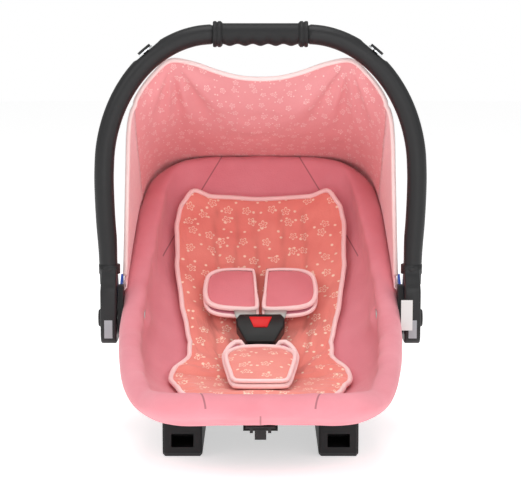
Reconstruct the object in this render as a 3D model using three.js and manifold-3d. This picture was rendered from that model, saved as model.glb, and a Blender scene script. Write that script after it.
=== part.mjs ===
import * as THREE from "three";
import Module from "manifold-3d";
import { mergeVertices } from "three/addons/utils/BufferGeometryUtils.js";

const wasm = await Module();
wasm.setup();
const { Vector3, Matrix4 } = THREE;

// Driving sizes in mm. X runs across the seat, Y towards the head end, Z up.
const pivotY = 10;
const pivotZ = 150;
const tubeRadius = 13;
const archTop = 375; // centre of the handle tube above the pivot
const seatWidthScale = 1; // width of the bucket against the drawn rim
const seatHalfWidth = 172 * seatWidthScale;
const hubClearance = 18; // from the bucket wall to the inner face of a hub, past roll and bracket
const hubWidth = 21;
const hubInnerX = seatHalfWidth + hubClearance;
const hubOuterX = hubInnerX + hubWidth;
const archHalfWidth = hubInnerX + 16;
const bracketOuterX = hubInnerX - 1.4;
const shellWall = 4;
const foamThickness = 8;
const coverThickness = 8;
const insertThickness = 14;
const gap = 0.4; // between pieces that lie on each other
const strapWidth = 36;
const strapThickness = 1.6;
const strapX = 26;
const slotClearance = 1;
const hoodThickness = 2;
const runnerX = 98;
const runnerWidth = 50;
const runnerFrontY = -150;
const socket = { width: 28, height: 17, depth: 60, middleZ: 21 };

const bucketBottom = new Vector3(0, -80, 46);
const rimPoints = [
  [0, -298, 94], [62, -296, 93], [112, -282, 90], [140, -245, 90], [157, -194, 103], [167, -125, 122],
  [172, -50, 140], [171, 25, 172], [167, 110, 221], [161, 198, 271], [148, 256, 302], [114, 286, 317],
  [60, 293, 322], [0, 294, 323],
].map(([x, y, z]) => new Vector3(x * seatWidthScale, y, z));

// ---- solids and meshes ----

function signedVolume(geometry) {
  const p = geometry.attributes.position;
  const index = geometry.index.array;
  const [a, b, c] = [new Vector3(), new Vector3(), new Vector3()];
  let sum = 0;
  for (let i = 0; i < index.length; i += 3) {
    a.fromBufferAttribute(p, index[i]);
    b.fromBufferAttribute(p, index[i + 1]);
    c.fromBufferAttribute(p, index[i + 2]);
    sum += a.dot(b.cross(c));
  }
  return sum;
}

function solidOf(source) {
  let geometry = source.clone();
  geometry.deleteAttribute("normal");
  geometry.deleteAttribute("uv");
  geometry = mergeVertices(geometry, 1e-4);
  const triangles = [];
  const index = geometry.index.array;
  for (let i = 0; i < index.length; i += 3) {
    const [a, b, c] = [index[i], index[i + 1], index[i + 2]];
    if (a !== b && b !== c && c !== a) triangles.push(a, b, c);
  }
  geometry.setIndex(triangles);
  if (signedVolume(geometry) < 0) {
    for (let i = 0; i < triangles.length; i += 3) {
      [triangles[i], triangles[i + 1]] = [triangles[i + 1], triangles[i]];
    }
  }
  return new wasm.Manifold(
    new wasm.Mesh({
      numProp: 3,
      vertProperties: new Float32Array(geometry.attributes.position.array),
      triVerts: new Uint32Array(triangles),
    })
  );
}

function geometryOf(solid, tolerance = 0.03) {
  const mesh = solid.simplify(tolerance).getMesh();
  const geometry = new THREE.BufferGeometry();
  const count = mesh.vertProperties.length / mesh.numProp;
  const positions = new Float32Array(count * 3);
  for (let i = 0; i < count; i += 1) {
    for (let k = 0; k < 3; k += 1) positions[i * 3 + k] = mesh.vertProperties[i * mesh.numProp + k];
  }
  geometry.setAttribute("position", new THREE.BufferAttribute(positions, 3));
  geometry.setIndex(Array.from(mesh.triVerts));
  return geometry;
}

// Two triangles across four corners, split along the shorter diagonal.
function pushQuad(triangles, points, a, b, c, d) {
  const first = points[a].distanceToSquared(points[c]);
  const second = points[b].distanceToSquared(points[d]);
  if (first <= second) triangles.push(a, b, c, a, c, d);
  else triangles.push(a, b, d, b, c, d);
}

function gridGeometry(points, triangles) {
  const geometry = new THREE.BufferGeometry();
  geometry.setAttribute("position", new THREE.Float32BufferAttribute(points.flatMap((p) => [p.x, p.y, p.z]), 3));
  geometry.setIndex(triangles);
  return geometry;
}

// Closed skin through rings of equal count, with one point closing each end.
function skinBetweenPoles(startPole, rings, endPole) {
  const n = rings[0].length;
  const points = [startPole, ...rings.flat(), endPole];
  const at = (r, i) => 1 + r * n + (i % n);
  const triangles = [];
  for (let i = 0; i < n; i += 1) {
    triangles.push(0, at(0, i), at(0, i + 1));
    for (let r = 0; r + 1 < rings.length; r += 1) {
      pushQuad(triangles, points, at(r, i), at(r + 1, i), at(r + 1, i + 1), at(r, i + 1));
    }
    triangles.push(at(rings.length - 1, i), points.length - 1, at(rings.length - 1, i + 1));
  }
  return gridGeometry(points, triangles);
}

// Closed skin through rings that come back to the first ring, as in a sleeve.
function sleeveSkin(rings) {
  const n = rings[0].length;
  const points = rings.flat();
  const at = (r, i) => (r % rings.length) * n + (i % n);
  const triangles = [];
  for (let r = 0; r < rings.length; r += 1) {
    for (let i = 0; i < n; i += 1) {
      pushQuad(triangles, points, at(r, i), at(r + 1, i), at(r + 1, i + 1), at(r, i + 1));
    }
  }
  return gridGeometry(points, triangles);
}

// Thin closed sheet on a grid of points, thickened along its normals.
function sheetSkin(grid, thickness) {
  const rows = grid.length;
  const columns = grid[0].length;
  const clampedAt = (r, c) => grid[Math.max(0, Math.min(rows - 1, r))][Math.max(0, Math.min(columns - 1, c))];
  const other = grid.map((row, r) =>
    row.map((p, c) => {
      const along = clampedAt(r + 1, c).clone().sub(clampedAt(r - 1, c));
      const across = clampedAt(r, c + 1).clone().sub(clampedAt(r, c - 1));
      return p.clone().add(along.cross(across).normalize().multiplyScalar(-thickness));
    })
  );
  const points = [...grid.flat(), ...other.flat()];
  const at = (side, r, c) => side * rows * columns + r * columns + c;
  const triangles = [];
  const quad = (a, b, c, d) => triangles.push(a, b, c, a, c, d);
  for (let r = 0; r + 1 < rows; r += 1) {
    for (let c = 0; c + 1 < columns; c += 1) {
      quad(at(0, r, c), at(0, r, c + 1), at(0, r + 1, c + 1), at(0, r + 1, c));
      quad(at(1, r, c), at(1, r + 1, c), at(1, r + 1, c + 1), at(1, r, c + 1));
    }
    quad(at(0, r, 0), at(0, r + 1, 0), at(1, r + 1, 0), at(1, r, 0));
    quad(at(0, r + 1, columns - 1), at(0, r, columns - 1), at(1, r, columns - 1), at(1, r + 1, columns - 1));
  }
  for (let c = 0; c + 1 < columns; c += 1) {
    quad(at(0, 0, c + 1), at(0, 0, c), at(1, 0, c), at(1, 0, c + 1));
    quad(at(0, rows - 1, c), at(0, rows - 1, c + 1), at(1, rows - 1, c + 1), at(1, rows - 1, c));
  }
  return gridGeometry(points, triangles);
}

function polygonShape(corners) {
  return new THREE.Shape(corners.map(([a, b]) => new THREE.Vector2(a, b)));
}

function extrude(shape, depth, bevel = 0, curveSegments = 4) {
  return new THREE.ExtrudeGeometry(shape, {
    depth: depth - 2 * bevel, curveSegments, bevelEnabled: bevel > 0, bevelSize: bevel, bevelThickness: bevel,
    bevelOffset: -bevel, bevelSegments: 1,
  }).translate(0, 0, bevel);
}

// Flat outline drawn in (Y, Z), extruded across the seat from startX to endX.
function sideProfile(shape, startX, endX, bevel = 0, curveSegments = 6) {
  const turn = new Matrix4().makeBasis(new Vector3(0, 1, 0), new Vector3(0, 0, 1), new Vector3(1, 0, 0));
  return extrude(shape, endX - startX, bevel, curveSegments).applyMatrix4(turn).translate(startX, 0, 0);
}

function cylinderAlong(start, end, radius, segments = 24) {
  const axis = end.clone().sub(start);
  const turn = new THREE.Quaternion().setFromUnitVectors(new Vector3(0, 1, 0), axis.clone().normalize());
  return new THREE.CylinderGeometry(radius, radius, axis.length(), segments)
    .applyQuaternion(turn)
    .translate(...start.clone().add(end).multiplyScalar(0.5).toArray());
}

function box(center, size) {
  return new THREE.BoxGeometry(...size).translate(...center);
}

// Webbing laid along a path of (Y, Z) points at one place across the seat.
function webbing(path, thickness, width, x) {
  const side = (sign) =>
    path.map(([y, z], i) => {
      const [y0, z0] = path[Math.max(0, i - 1)];
      const [y1, z1] = path[Math.min(path.length - 1, i + 1)];
      const length = Math.hypot(y1 - y0, z1 - z0);
      const here = sign * thickness / 2;
      return [y - (here * (z1 - z0)) / length, z + (here * (y1 - y0)) / length];
    });
  const shape = polygonShape([...side(1), ...side(-1).reverse()]);
  return sideProfile(shape, x - width / 2, x + width / 2);
}

function mirrored(geometry) {
  const copy = geometry.clone().scale(-1, 1, 1);
  const index = copy.index ? Array.from(copy.index.array) : null;
  if (!index) return copy;
  for (let i = 0; i < index.length; i += 3) [index[i], index[i + 1]] = [index[i + 1], index[i]];
  copy.setIndex(index);
  return copy;
}

// ---- the bucket surface that shell, foam, cover and insert follow ----

const rimCount = 40;
const rimCurve = new THREE.CatmullRomCurve3(
  [...rimPoints, ...rimPoints.slice(1, -1).reverse().map((p) => new Vector3(-p.x, p.y, p.z))], true, "catmullrom", 0.5
);
const rim = Array.from({ length: rimCount }, (_, i) => rimCurve.getPoint(i / rimCount));
const wrap = (i) => (i + rimCount) % rimCount;

function bucketPoint(i, r) {
  const reach = rim[wrap(i)].clone().sub(bucketBottom);
  const sideways = (Math.abs(reach.x) / Math.hypot(reach.x, reach.y)) ** 3;
  const outward = 1 - (1 - Math.min(r, 1)) ** (1.2 + sideways) + Math.max(0, r - 1) * 0.3;
  const upward = r ** (1.6 + 0.6 * sideways);
  return bucketBottom.clone().add(new Vector3(reach.x * outward, reach.y * outward, reach.z * upward));
}

function bucketNormal(i, r) {
  const low = Math.max(0.06, Math.min(0.95, r));
  const up = bucketPoint(i, low + 0.03).sub(bucketPoint(i, low - 0.03));
  const around = bucketPoint(i + 1, low).sub(bucketPoint(i - 1, low));
  return up.cross(around).normalize();
}

// Point of the bucket surface moved towards the child by offset.
function bed(i, r, offset) {
  return bucketPoint(i, r).add(bucketNormal(i, r).multiplyScalar(offset));
}

function bedRing(r, offset) {
  return rim.map((_, i) => bed(i, typeof r === "function" ? r(i) : r, typeof offset === "function" ? offset(i) : offset));
}

function bedPole(offset) {
  return bucketBottom.clone().add(new Vector3(0, 0, offset));
}

// Ring beside the shell rim: outward across the wall, upward along it.
function rimRing(outward, upward) {
  return rim.map((_, i) => {
    const normal = bucketNormal(i, 0.95);
    const up = bucketPoint(i, 0.98).sub(bucketPoint(i, 0.92)).normalize();
    return bucketPoint(i, 1).add(normal.multiplyScalar(-outward)).add(up.multiplyScalar(upward));
  });
}

// Everything inside the bucket outer surface moved outwards by extra.
function bucketFilled(extra) {
  const top = bucketBottom.clone().add(new Vector3(0, 60, 420));
  return skinBetweenPoles(
    bedPole(-extra), [0.1, 0.2, 0.32, 0.45, 0.58, 0.7, 0.8, 0.9, 1].map((r) => bedRing(r, -extra)), top
  );
}

const steps = [0.1, 0.2, 0.32, 0.45, 0.58, 0.7, 0.8, 0.9];
const foamSteps = steps.slice(0, -1);

// Bowl between two offsets of the bucket surface.
function bowl(lower, upper, places) {
  return skinBetweenPoles(
    bedPole(upper), [...places.map((r) => bedRing(r, upper)), ...places.slice().reverse().map((r) => bedRing(r, lower))],
    bedPole(lower)
  );
}

const foamTop = gap + foamThickness;
const coverUnder = foamTop + gap;
const coverTop = coverUnder + coverThickness;
const insertUnder = coverTop + gap;
const insertTop = insertUnder + insertThickness;

// ---- harness line, as (Y, Z) points ----

const lift = insertThickness - 14; // the harness lies on the insert
const buckleStart = [41.5, 144.4 + lift];
const bellyDown = new Vector3(0, -0.884, -0.467).normalize();
const buckleDown = new Vector3(0, -0.72, -0.69).normalize();
const crotchDown = new Vector3(0, -0.9954, -0.0953).normalize();
const onBelly = (distance) => [
  buckleStart[0] - bellyDown.y * distance, buckleStart[1] - bellyDown.z * distance,
];
const shoulderPath = [
  [142, 131], [160, 145], [172, 156], [173, 161], [146 - 0.83 * lift, 193.5 + lift], onBelly(112), onBelly(18),
];
const crotchPath = [
  [14, 118 + lift], [6, 110.5 + lift], [0, 109.1 + lift], [-97, 99.8 + lift], [-108, 96.5 + lift], [-114, 90 + lift],
  [-115, 84 + lift], [-115, 40], [-115, 33],
];

// Frame on the harness line: across the seat, down the belly, and into the seat.
function harnessFrame(y, z, down) {
  const across = new Vector3(1, 0, 0);
  return new Matrix4().makeBasis(across, down, across.clone().cross(down)).setPosition(0, y, z);
}

function slotCutters() {
  const wide = strapWidth + 2 * slotClearance;
  const tall = strapThickness + 2 * slotClearance;
  const slots = [strapX, -strapX].map((x) => webbing([[181, 151.5], [133, 209]], tall, wide, x));
  slots.push(webbing([[-115, 110], [-115, 20]], tall, wide, 0));
  return slots.map(solidOf);
}

function cut(solid, cutters) {
  return cutters.reduce((left, cutter) => left.subtract(cutter), solid);
}

// ---- pieces ----

function screwPlaces() {
  return [1, -1].flatMap((side) => [-70, 40].map((y) => ({ x: side * runnerX, y, side })));
}

function screwHole({ x, y }, radius, from, to) {
  return solidOf(cylinderAlong(new Vector3(x, y, from), new Vector3(x, y, to), radius, 16));
}

function pivotHole(side, radius, from, to) {
  return solidOf(
    cylinderAlong(new Vector3(side * from, pivotY, pivotZ), new Vector3(side * to, pivotY, pivotZ), radius)
  );
}

function bracketOutline(grow = 0) {
  const shape = new THREE.Shape();
  const r = 22 + grow;
  shape.absarc(pivotY, pivotZ, r, Math.PI * 0.78, Math.PI * 2.22, false);
  shape.lineTo(pivotY + 9 + grow, pivotZ + 44 + grow);
  shape.lineTo(pivotY - 9 - grow, pivotZ + 44 + grow);
  return shape;
}

function pivotBracket(side) {
  const plate = solidOf(sideProfile(bracketOutline(), bracketOuterX - 6.6, bracketOuterX, 0, 12));
  const boss = solidOf(
    cylinderAlong(
      new Vector3(seatHalfWidth - 12, pivotY, pivotZ), new Vector3(bracketOuterX - 3.6, pivotY, pivotZ), 18
    )
  );
  const filled = solidOf(bucketFilled(shellWall + gap));
  const body = plate.add(boss.subtract(filled)).subtract(filled).subtract(pivotHole(1, 8.3, 100, 300));
  const geometry = geometryOf(body);
  return side > 0 ? geometry : mirrored(geometry);
}

function bracketRoom(side) {
  const room = sideProfile(bracketOutline(gap + 0.6), 100, 300, 0, 12);
  return solidOf(side > 0 ? room : mirrored(room));
}

function shell() {
  const holes = screwPlaces().map((place) => screwHole(place, 2.7, 30, 130));
  const pins = [1, -1].map((side) => pivotHole(side, 8.4, 100, 300));
  return geometryOf(cut(solidOf(bowl(-shellWall, 0, [...steps, 1])), [...slotCutters(), ...holes, ...pins]));
}

function foamLiner() {
  const pinRoom = [1, -1].map((side) => pivotHole(side, 14, 100, 300));
  return geometryOf(cut(solidOf(bowl(gap + 0.1, foamTop, foamSteps)), [...slotCutters(), ...pinRoom]));
}

const headShare = (i) => Math.max(0, (rim[wrap(i)].y - 60) / 234);

function seatCover() {
  const skirtEnd = (i) => 0.6 + 0.2 * headShare(i);
  const under = -(shellWall + gap + 0.3);
  const skirt = [0.9, 0.8, 0.7].map((r) => (i) => Math.max(r, skirtEnd(i)));
  const rolled = [[-17, -6], [-16, 4], [-11, 12], [-3, 15.5], [5, 13.5], [9.8, 7], [10.7, -4]];
  const rings = [
    ...steps.map((r) => bedRing(r, coverTop)),
    ...rolled.map(([outward, upward]) => rimRing(outward, upward)),
    ...skirt.map((r) => bedRing(r, under - 3)), bedRing(skirtEnd, under - 2.6),
    bedRing(skirtEnd, under), ...skirt.slice().reverse().map((r) => bedRing(r, under)),
    rimRing(shellWall + gap + 0.4, 1), rimRing(-gap, 1), bedRing(0.9, gap + 0.3),
    bedRing(0.84, coverUnder), ...foamSteps.slice().reverse().map((r) => bedRing(r, coverUnder + 0.1)),
  ];
  const body = solidOf(skinBetweenPoles(bedPole(coverTop), rings, bedPole(coverUnder + 0.1)));
  const pinRoom = [1, -1].map((side) => pivotHole(side, 14, 100, 300));
  const cutters = [...slotCutters(), bracketRoom(1), bracketRoom(-1), ...pinRoom];
  return geometryOf(cut(body, cutters), 0.15);
}

// Share of the way from the bucket bottom to the rim that the insert reaches in each direction.
function insertReach(i) {
  const p = rim[wrap(i)];
  const turn = Math.atan2(Math.abs(p.x), p.y - bucketBottom.y); // 0 at the head, pi at the feet
  const stops = [
    [0, 0.88], [0.27, 0.9], [0.36, 0.88], [0.43, 0.85], [0.53, 0.77], [0.6, 0.64], [0.66, 0.53], [0.73, 0.46],
    [0.85, 0.43], [1.2, 0.46], [1.5, 0.45], [1.8, 0.42], [2.48, 0.5], [Math.PI, 0.5],
  ];
  const next = stops.findIndex(([t]) => t >= turn);
  if (next <= 0) return stops[0][1];
  const [[t0, r0], [t1, r1]] = [stops[next - 1], stops[next]];
  return r0 + ((r1 - r0) * (turn - t0)) / (t1 - t0);
}

function insertCushion() {
  const places = steps.map((r) => (i) => Math.min(r, insertReach(i) * 0.94));
  const rings = [
    ...places.map((r) => bedRing(r, insertTop)),
    bedRing((i) => insertReach(i) * 0.99, insertUnder + insertThickness * 0.75),
    bedRing(insertReach, insertUnder + insertThickness * 0.45),
    bedRing((i) => insertReach(i) * 0.985, insertUnder + 1.4),
    ...places.slice().reverse().map((r) => bedRing(r, insertUnder + 0.5)),
  ];
  return geometryOf(cut(solidOf(skinBetweenPoles(bedPole(insertTop), rings, bedPole(insertUnder + 0.5))), slotCutters()));
}

// Soft flat pad with rounded edges, slightly fuller in the middle.
function pillow(corners, thickness, bevel) {
  const outline = new THREE.CatmullRomCurve3(corners.map(([a, b]) => new Vector3(a, b, 0)), true)
    .getPoints(36).slice(0, -1);
  const middle = outline.reduce((sum, p) => sum.add(p), new Vector3()).divideScalar(outline.length);
  const ring = (inset, z) =>
    outline.map((p) => {
      const inward = middle.clone().sub(p).normalize().multiplyScalar(inset);
      return p.clone().add(inward).setZ(z);
    });
  const half = thickness / 2;
  const rings = [
    ring(bevel * 3, -half), ring(bevel, -half + bevel * 0.3), ring(0, -half + bevel), ring(0, half - bevel),
    ring(bevel, half - bevel * 0.3), ring(bevel * 3, half),
  ];
  return skinBetweenPoles(middle.clone().setZ(-half - 0.6), rings, middle.clone().setZ(half + 0.6));
}

function padOnStrap(corners, length, thickness, start, down, strapMiddle, bevel) {
  // Outline in (across, along); the frame's third axis points into the seat.
  const block = solidOf(pillow(corners, thickness, bevel));
  const channel = solidOf(box([strapMiddle, length / 2, 0], [strapWidth + 1.2, length * 3, strapThickness + 1.2]));
  return geometryOf(block.subtract(channel)).applyMatrix4(harnessFrame(start[0], start[1], down));
}

function chestPad(side) {
  const corners = [
    [3, 3], [14, 0], [40, 0], [60, 6], [73, 22], [76, 48], [71, 72], [55, 86], [30, 90], [8, 90], [2, 84], [1.4, 42],
  ];
  const pad = padOnStrap(corners, 90, 14, onBelly(107), bellyDown, strapX, 3);
  return side > 0 ? pad : mirrored(pad);
}

function crotchPad() {
  // The strap runs inside the pad and leaves it downwards, above its slot in the seat.
  const half = [[20, 2], [38, 6], [47, 24], [46, 60], [40, 110], [33, 152]];
  const corners = [...half, [20, 163], [-20, 163], ...half.slice().reverse().map(([a, b]) => [-a, b])];
  const block = solidOf(pillow(corners, 12, 3));
  const channel = solidOf(box([0, 40, 0], [strapWidth + 1.2, 160, strapThickness + 1.2]));
  const wayOut = solidOf(box([0, 107, 5], [strapWidth + 1.2, 30, 13]));
  return geometryOf(block.subtract(channel).subtract(wayOut)).applyMatrix4(harnessFrame(0, 109.1 + lift, crotchDown));
}

const buckle = { thickness: 20 };
const tongueX = 19.5;

function buckleHousing() {
  const outline = polygonShape([
    [-28, 0], [28, 0], [33, 8], [32, 20], [19, 46], [-19, 46], [-32, 20], [-33, 8],
  ]);
  const frame = harnessFrame(...buckleStart, buckleDown);
  const t = buckle.thickness;
  const block = solidOf(extrude(outline, t, 2.5).translate(0, 0, -t / 2));
  const tongues = [tongueX, -tongueX].map((x) => solidOf(box([x, 8, 0], [27.8, 32, 3.4])));
  const well = solidOf(extrude(buttonOutline(0.5), 9).translate(0, 0, -t / 2 - 1));
  const strapRoom = solidOf(box([0, 42, 0], [strapWidth + 1.4, 18, 7]));
  return geometryOf(cut(block, [...tongues, well, strapRoom])).applyMatrix4(frame);
}

function buttonOutline(grow = 0) {
  return polygonShape([
    [-15.5 - grow, 6 - grow], [15.5 + grow, 6 - grow], [9 + grow, 23 + grow], [-9 - grow, 23 + grow],
  ]);
}

function buckleButton() {
  // Stands 1 mm proud and can be pressed 3 mm before it meets the floor of its well.
  const frame = harnessFrame(...buckleStart, buckleDown);
  const cap = solidOf(extrude(buttonOutline(), 5).translate(0, 0, -buckle.thickness / 2 - 1));
  return geometryOf(cap).applyMatrix4(frame);
}

function buckleTongue(side) {
  const outline = polygonShape([[6, -15], [49, -15], [49, -4], [34, -1.5], [32.9, 0], [32.9, 16], [6.1, 16]]);
  const frame = harnessFrame(...buckleStart, buckleDown);
  const blade = solidOf(extrude(outline, 2.6).translate(0, 0, -1.3));
  const eye = solidOf(box([strapX + 1.5, -9.5, 0], [strapWidth + 1.5, 4.5, 8]));
  const geometry = geometryOf(blade.subtract(eye)).applyMatrix4(frame);
  return side > 0 ? geometry : mirrored(geometry);
}

function shoulderStrap(side) {
  return geometryOf(solidOf(webbing(shoulderPath, strapThickness, strapWidth, side * strapX)));
}

function crotchStrap() {
  return geometryOf(solidOf(webbing(crotchPath, strapThickness, strapWidth, 0)));
}

function harnessYoke() {
  return geometryOf(solidOf(webbing([[133, 116], [150, 130]], 3, 96, 0)));
}

function crotchAnchor() {
  return geometryOf(solidOf(box([0, -115, 29], [44, 14, 4])));
}

function archPath() {
  const path = new THREE.CurvePath();
  const point = (x, z) => new Vector3(x, pivotY, pivotZ + z);
  const cornerWidth = archHalfWidth - 60;
  const cornerStart = 196;
  const legs = (side) =>
    [[200, 46], [201.5, 88], [204.5, 130], [archHalfWidth, 168], [archHalfWidth, cornerStart]]
      .map(([x, z]) => point(side * x * (archHalfWidth / 206), z));
  const corner = (side) =>
    Array.from({ length: 9 }, (_, i) => {
      const turn = ((i + 1) / 9) * (Math.PI / 2);
      return point(side * (60 + cornerWidth * Math.cos(turn)), cornerStart + (archTop - cornerStart) * Math.sin(turn));
    });
  const points = [
    ...legs(1), ...corner(1), point(30, archTop), point(0, archTop), point(-30, archTop),
    ...corner(-1).reverse(), ...legs(-1).reverse(),
  ];
  path.add(new THREE.CatmullRomCurve3(points));
  return path;
}

const studPlace = (() => {
  const turn = 0.97;
  const width = archHalfWidth - 60;
  const height = archTop - 196;
  const middle = new Vector3(60 + width * Math.cos(turn), pivotY, pivotZ + 196 + height * Math.sin(turn));
  const out = new Vector3(Math.cos(turn) / width, 0, Math.sin(turn) / height).normalize();
  return { middle, out, along: (distance) => middle.clone().add(out.clone().multiplyScalar(distance)) };
})();

function hubOutline() {
  const [front, back, bottom] = [pivotY - 27, pivotY + 27, pivotZ - 32];
  const shape = new THREE.Shape();
  shape.moveTo(front, pivotZ + 38);
  shape.lineTo(front, bottom + 12);
  shape.quadraticCurveTo(front, bottom, front + 14, bottom);
  shape.lineTo(back - 14, bottom);
  shape.quadraticCurveTo(back, bottom, back, bottom + 12);
  shape.lineTo(back, pivotZ + 38);
  shape.lineTo(pivotY + tubeRadius - 1, pivotZ + 66);
  shape.lineTo(pivotY - tubeRadius + 1, pivotZ + 66);
  return shape;
}

const inlay = { width: 10.7, height: 24, depth: 1.6, middleZ: pivotZ - 11 };
const hubMiddleX = (hubInnerX + hubOuterX) / 2;

function handleArch() {
  const ring = new THREE.Shape();
  ring.absarc(0, 0, tubeRadius, 0, Math.PI * 2, false);
  const tube = new THREE.ExtrudeGeometry(ring, {
    extrudePath: archPath(), steps: 44, bevelEnabled: false, curveSegments: 8,
  });
  let body = solidOf(tube);
  const hub = sideProfile(hubOutline(), hubInnerX, hubOuterX, 2.5, 4);
  body = body.add(solidOf(hub)).add(solidOf(mirrored(hub)));
  const gripRoom = solidOf(
    cylinderAlong(new Vector3(-62.5, pivotY, pivotZ + archTop), new Vector3(62.5, pivotY, pivotZ + archTop), 24)
  ).subtract(solidOf(
    cylinderAlong(new Vector3(-80, pivotY, pivotZ + archTop), new Vector3(80, pivotY, pivotZ + archTop), 10.5)
  ));
  const innerFlat = solidOf(box([0, pivotY, pivotZ + 76], [hubInnerX * 2, 40, 80]));
  const cutters = [gripRoom, innerFlat];
  for (const side of [1, -1]) {
    cutters.push(pivotHole(side, 8.3, hubInnerX - 10, hubInnerX + 15));
    cutters.push(pivotHole(side, 12.2, hubOuterX - 7.5, hubOuterX + 9));
    const pocket = box(
      [side * hubMiddleX, pivotY - 27, inlay.middleZ], [inlay.width + 0.6, 3.2, inlay.height + 0.6]
    );
    cutters.push(solidOf(pocket));
    for (const [from, to, radius] of [[11, 30, 17], [2, 14, 4.4]]) {
      const cutter = cylinderAlong(studPlace.along(from), studPlace.along(to), radius);
      cutters.push(solidOf(side > 0 ? cutter : mirrored(cutter)));
    }
  }
  return geometryOf(cut(body, cutters), 0.15);
}

function hubInlay(side) {
  const backY = pivotY - 25.4 - 0.3;
  return geometryOf(solidOf(
    box([side * hubMiddleX, backY - inlay.depth / 2, inlay.middleZ], [inlay.width, inlay.depth, inlay.height])
  ));
}

function handleGrip() {
  const half = 62;
  const outer = (x, turn) => {
    const collar = Math.abs(Math.abs(x) - 57) < 5 ? 3 : 0;
    const below = Math.max(0, -Math.sin(turn));
    return 14 + collar + (collar ? 0 : 1.1 * below * Math.cos((x / 20) * Math.PI * 2));
  };
  const ringAt = (x, radius) =>
    Array.from({ length: 20 }, (_, i) => {
      const turn = (i / 20) * Math.PI * 2;
      const r = typeof radius === "number" ? radius : radius(x, turn);
      return new Vector3(x, pivotY + r * Math.cos(turn), pivotZ + archTop + r * Math.sin(turn));
    });
  const places = [-half, -61, -52.5, -51];
  for (let x = -45; x <= 45; x += 5) places.push(x);
  places.push(51, 52.5, 61, half);
  const rings = places.map((x) => ringAt(x, Math.abs(x) === half ? 15 : outer));
  return geometryOf(solidOf(sleeveSkin([...rings, ringAt(half, 11), ringAt(-half, 11)])));
}

function pivotPin(side) {
  const pin = solidOf(
    cylinderAlong(
      new Vector3(side * (seatHalfWidth - 14), pivotY, pivotZ), new Vector3(side * (hubInnerX + 13), pivotY, pivotZ), 7.8
    )
  );
  const head = solidOf(
    cylinderAlong(
      new Vector3(side * (seatHalfWidth - 19), pivotY, pivotZ),
      new Vector3(side * (seatHalfWidth - 13), pivotY, pivotZ), 12
    )
  );
  return geometryOf(pin.add(head));
}

function releaseButton(side) {
  const profile = [[0, -3.8], [11.7, -3.8], [11.7, 2.8], [10.6, 4.2], [0, 4.6]]
    .map(([r, x]) => new THREE.Vector2(r, hubOuterX + x));
  const turned = new THREE.LatheGeometry(profile, 28).rotateZ(-Math.PI / 2).translate(0, pivotY, pivotZ);
  return geometryOf(solidOf(side > 0 ? turned : mirrored(turned)));
}

function canopyStud(side) {
  const head = solidOf(cylinderAlong(studPlace.along(13.4), studPlace.along(16.6), 10));
  const neck = solidOf(cylinderAlong(studPlace.along(3), studPlace.along(14), 4));
  const geometry = geometryOf(head.add(neck));
  return side > 0 ? geometry : mirrored(geometry);
}

function studRing(side) {
  const ring = solidOf(cylinderAlong(studPlace.along(11.4), studPlace.along(13), 11.2));
  const geometry = geometryOf(ring.subtract(solidOf(cylinderAlong(studPlace.along(9), studPlace.along(15), 4.4))));
  return side > 0 ? geometry : mirrored(geometry);
}

// Front edge of the hood, from the right shoulder over the top to the left one, as (X, Z) points.
function hoodArch(share) {
  const half = [
    [181, 204], [179.5, 250], [178, 300], [176.5, 350], [175, 392], [171, 420], [160, 447], [141, 472], [119, 490],
    [88, 486], [56, 475], [28, 468], [0, 466],
  ];
  const arch = new THREE.SplineCurve(
    [...half, ...half.slice(0, -1).reverse().map(([x, z]) => [-x, z])]
      .map(([x, z]) => new THREE.Vector2((x * hubInnerX) / 190, z))
  );
  const p = arch.getPoint(share);
  return new Vector3(p.x, 30, p.y);
}

function hoodSheet() {
  const count = 36;
  const first = rimCount * 0.267; // place on the rim, counted from the foot end
  const last = rimCount - first;
  const rimAt = (place, outward, upward) => {
    const low = Math.floor(place);
    const a = rimRingPoint(low, outward, upward);
    return a.lerp(rimRingPoint(low + 1, outward, upward), place - low);
  };
  const grid = [];
  for (let j = 0; j <= count; j += 1) {
    const share = j / count;
    const front = hoodArch(share);
    const place = first + (last - first) * share;
    const over = rimAt(place, 5, 19);
    const tuckedIn = [rimAt(place, 10.5, 14.5), rimAt(place, 12.6, 6), rimAt(place, 12.6, -18)];
    const sag = 18 * Math.sin(Math.PI * share) ** 2;
    const row = [0, 0.16, 0.36, 0.58, 0.8, 1].map((q) => {
      const p = front.clone().lerp(over, q);
      return p.add(new Vector3(0, -0.3, -1).multiplyScalar(sag * Math.sin(Math.PI * q) ** 0.8 * (1 - 0.3 * q)));
    });
    grid.push([...row, ...tuckedIn]);
  }
  return geometryOf(cut(solidOf(sheetSkin(grid, hoodThickness)), [bracketRoom(1), bracketRoom(-1)]));
}

function rimRingPoint(i, outward, upward) {
  const normal = bucketNormal(i, 0.95);
  const up = bucketPoint(i, 0.98).sub(bucketPoint(i, 0.92)).normalize();
  return bucketPoint(i, 1).add(normal.multiplyScalar(-outward)).add(up.multiplyScalar(upward));
}

function runner(side) {
  const f = runnerFrontY;
  const outline = polygonShape([
    [f, 5], [f + 5, 0], [62, 0], [92, 5], [120, 18], [146, 40], [166, 68], [180, 102], [184, 170], [f, 170],
  ]);
  const x = runnerX - runnerWidth / 2;
  let body = solidOf(sideProfile(outline, x, x + runnerWidth, 3));
  body = body.subtract(solidOf(bucketFilled(shellWall + gap)));
  const { width, height, depth, middleZ } = socket;
  const hole = box([runnerX, f + depth / 2 - 1, middleZ], [width, depth + 2, height]);
  const holes = screwPlaces().filter((place) => place.side > 0)
    .flatMap((place) => [screwHole(place, 2.7, -5, 90), screwHole(place, 5.5, -5, place.y < 0 ? 5 : 24)]);
  const geometry = geometryOf(cut(body, [solidOf(hole), ...holes]));
  return side > 0 ? geometry : mirrored(geometry);
}

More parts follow.
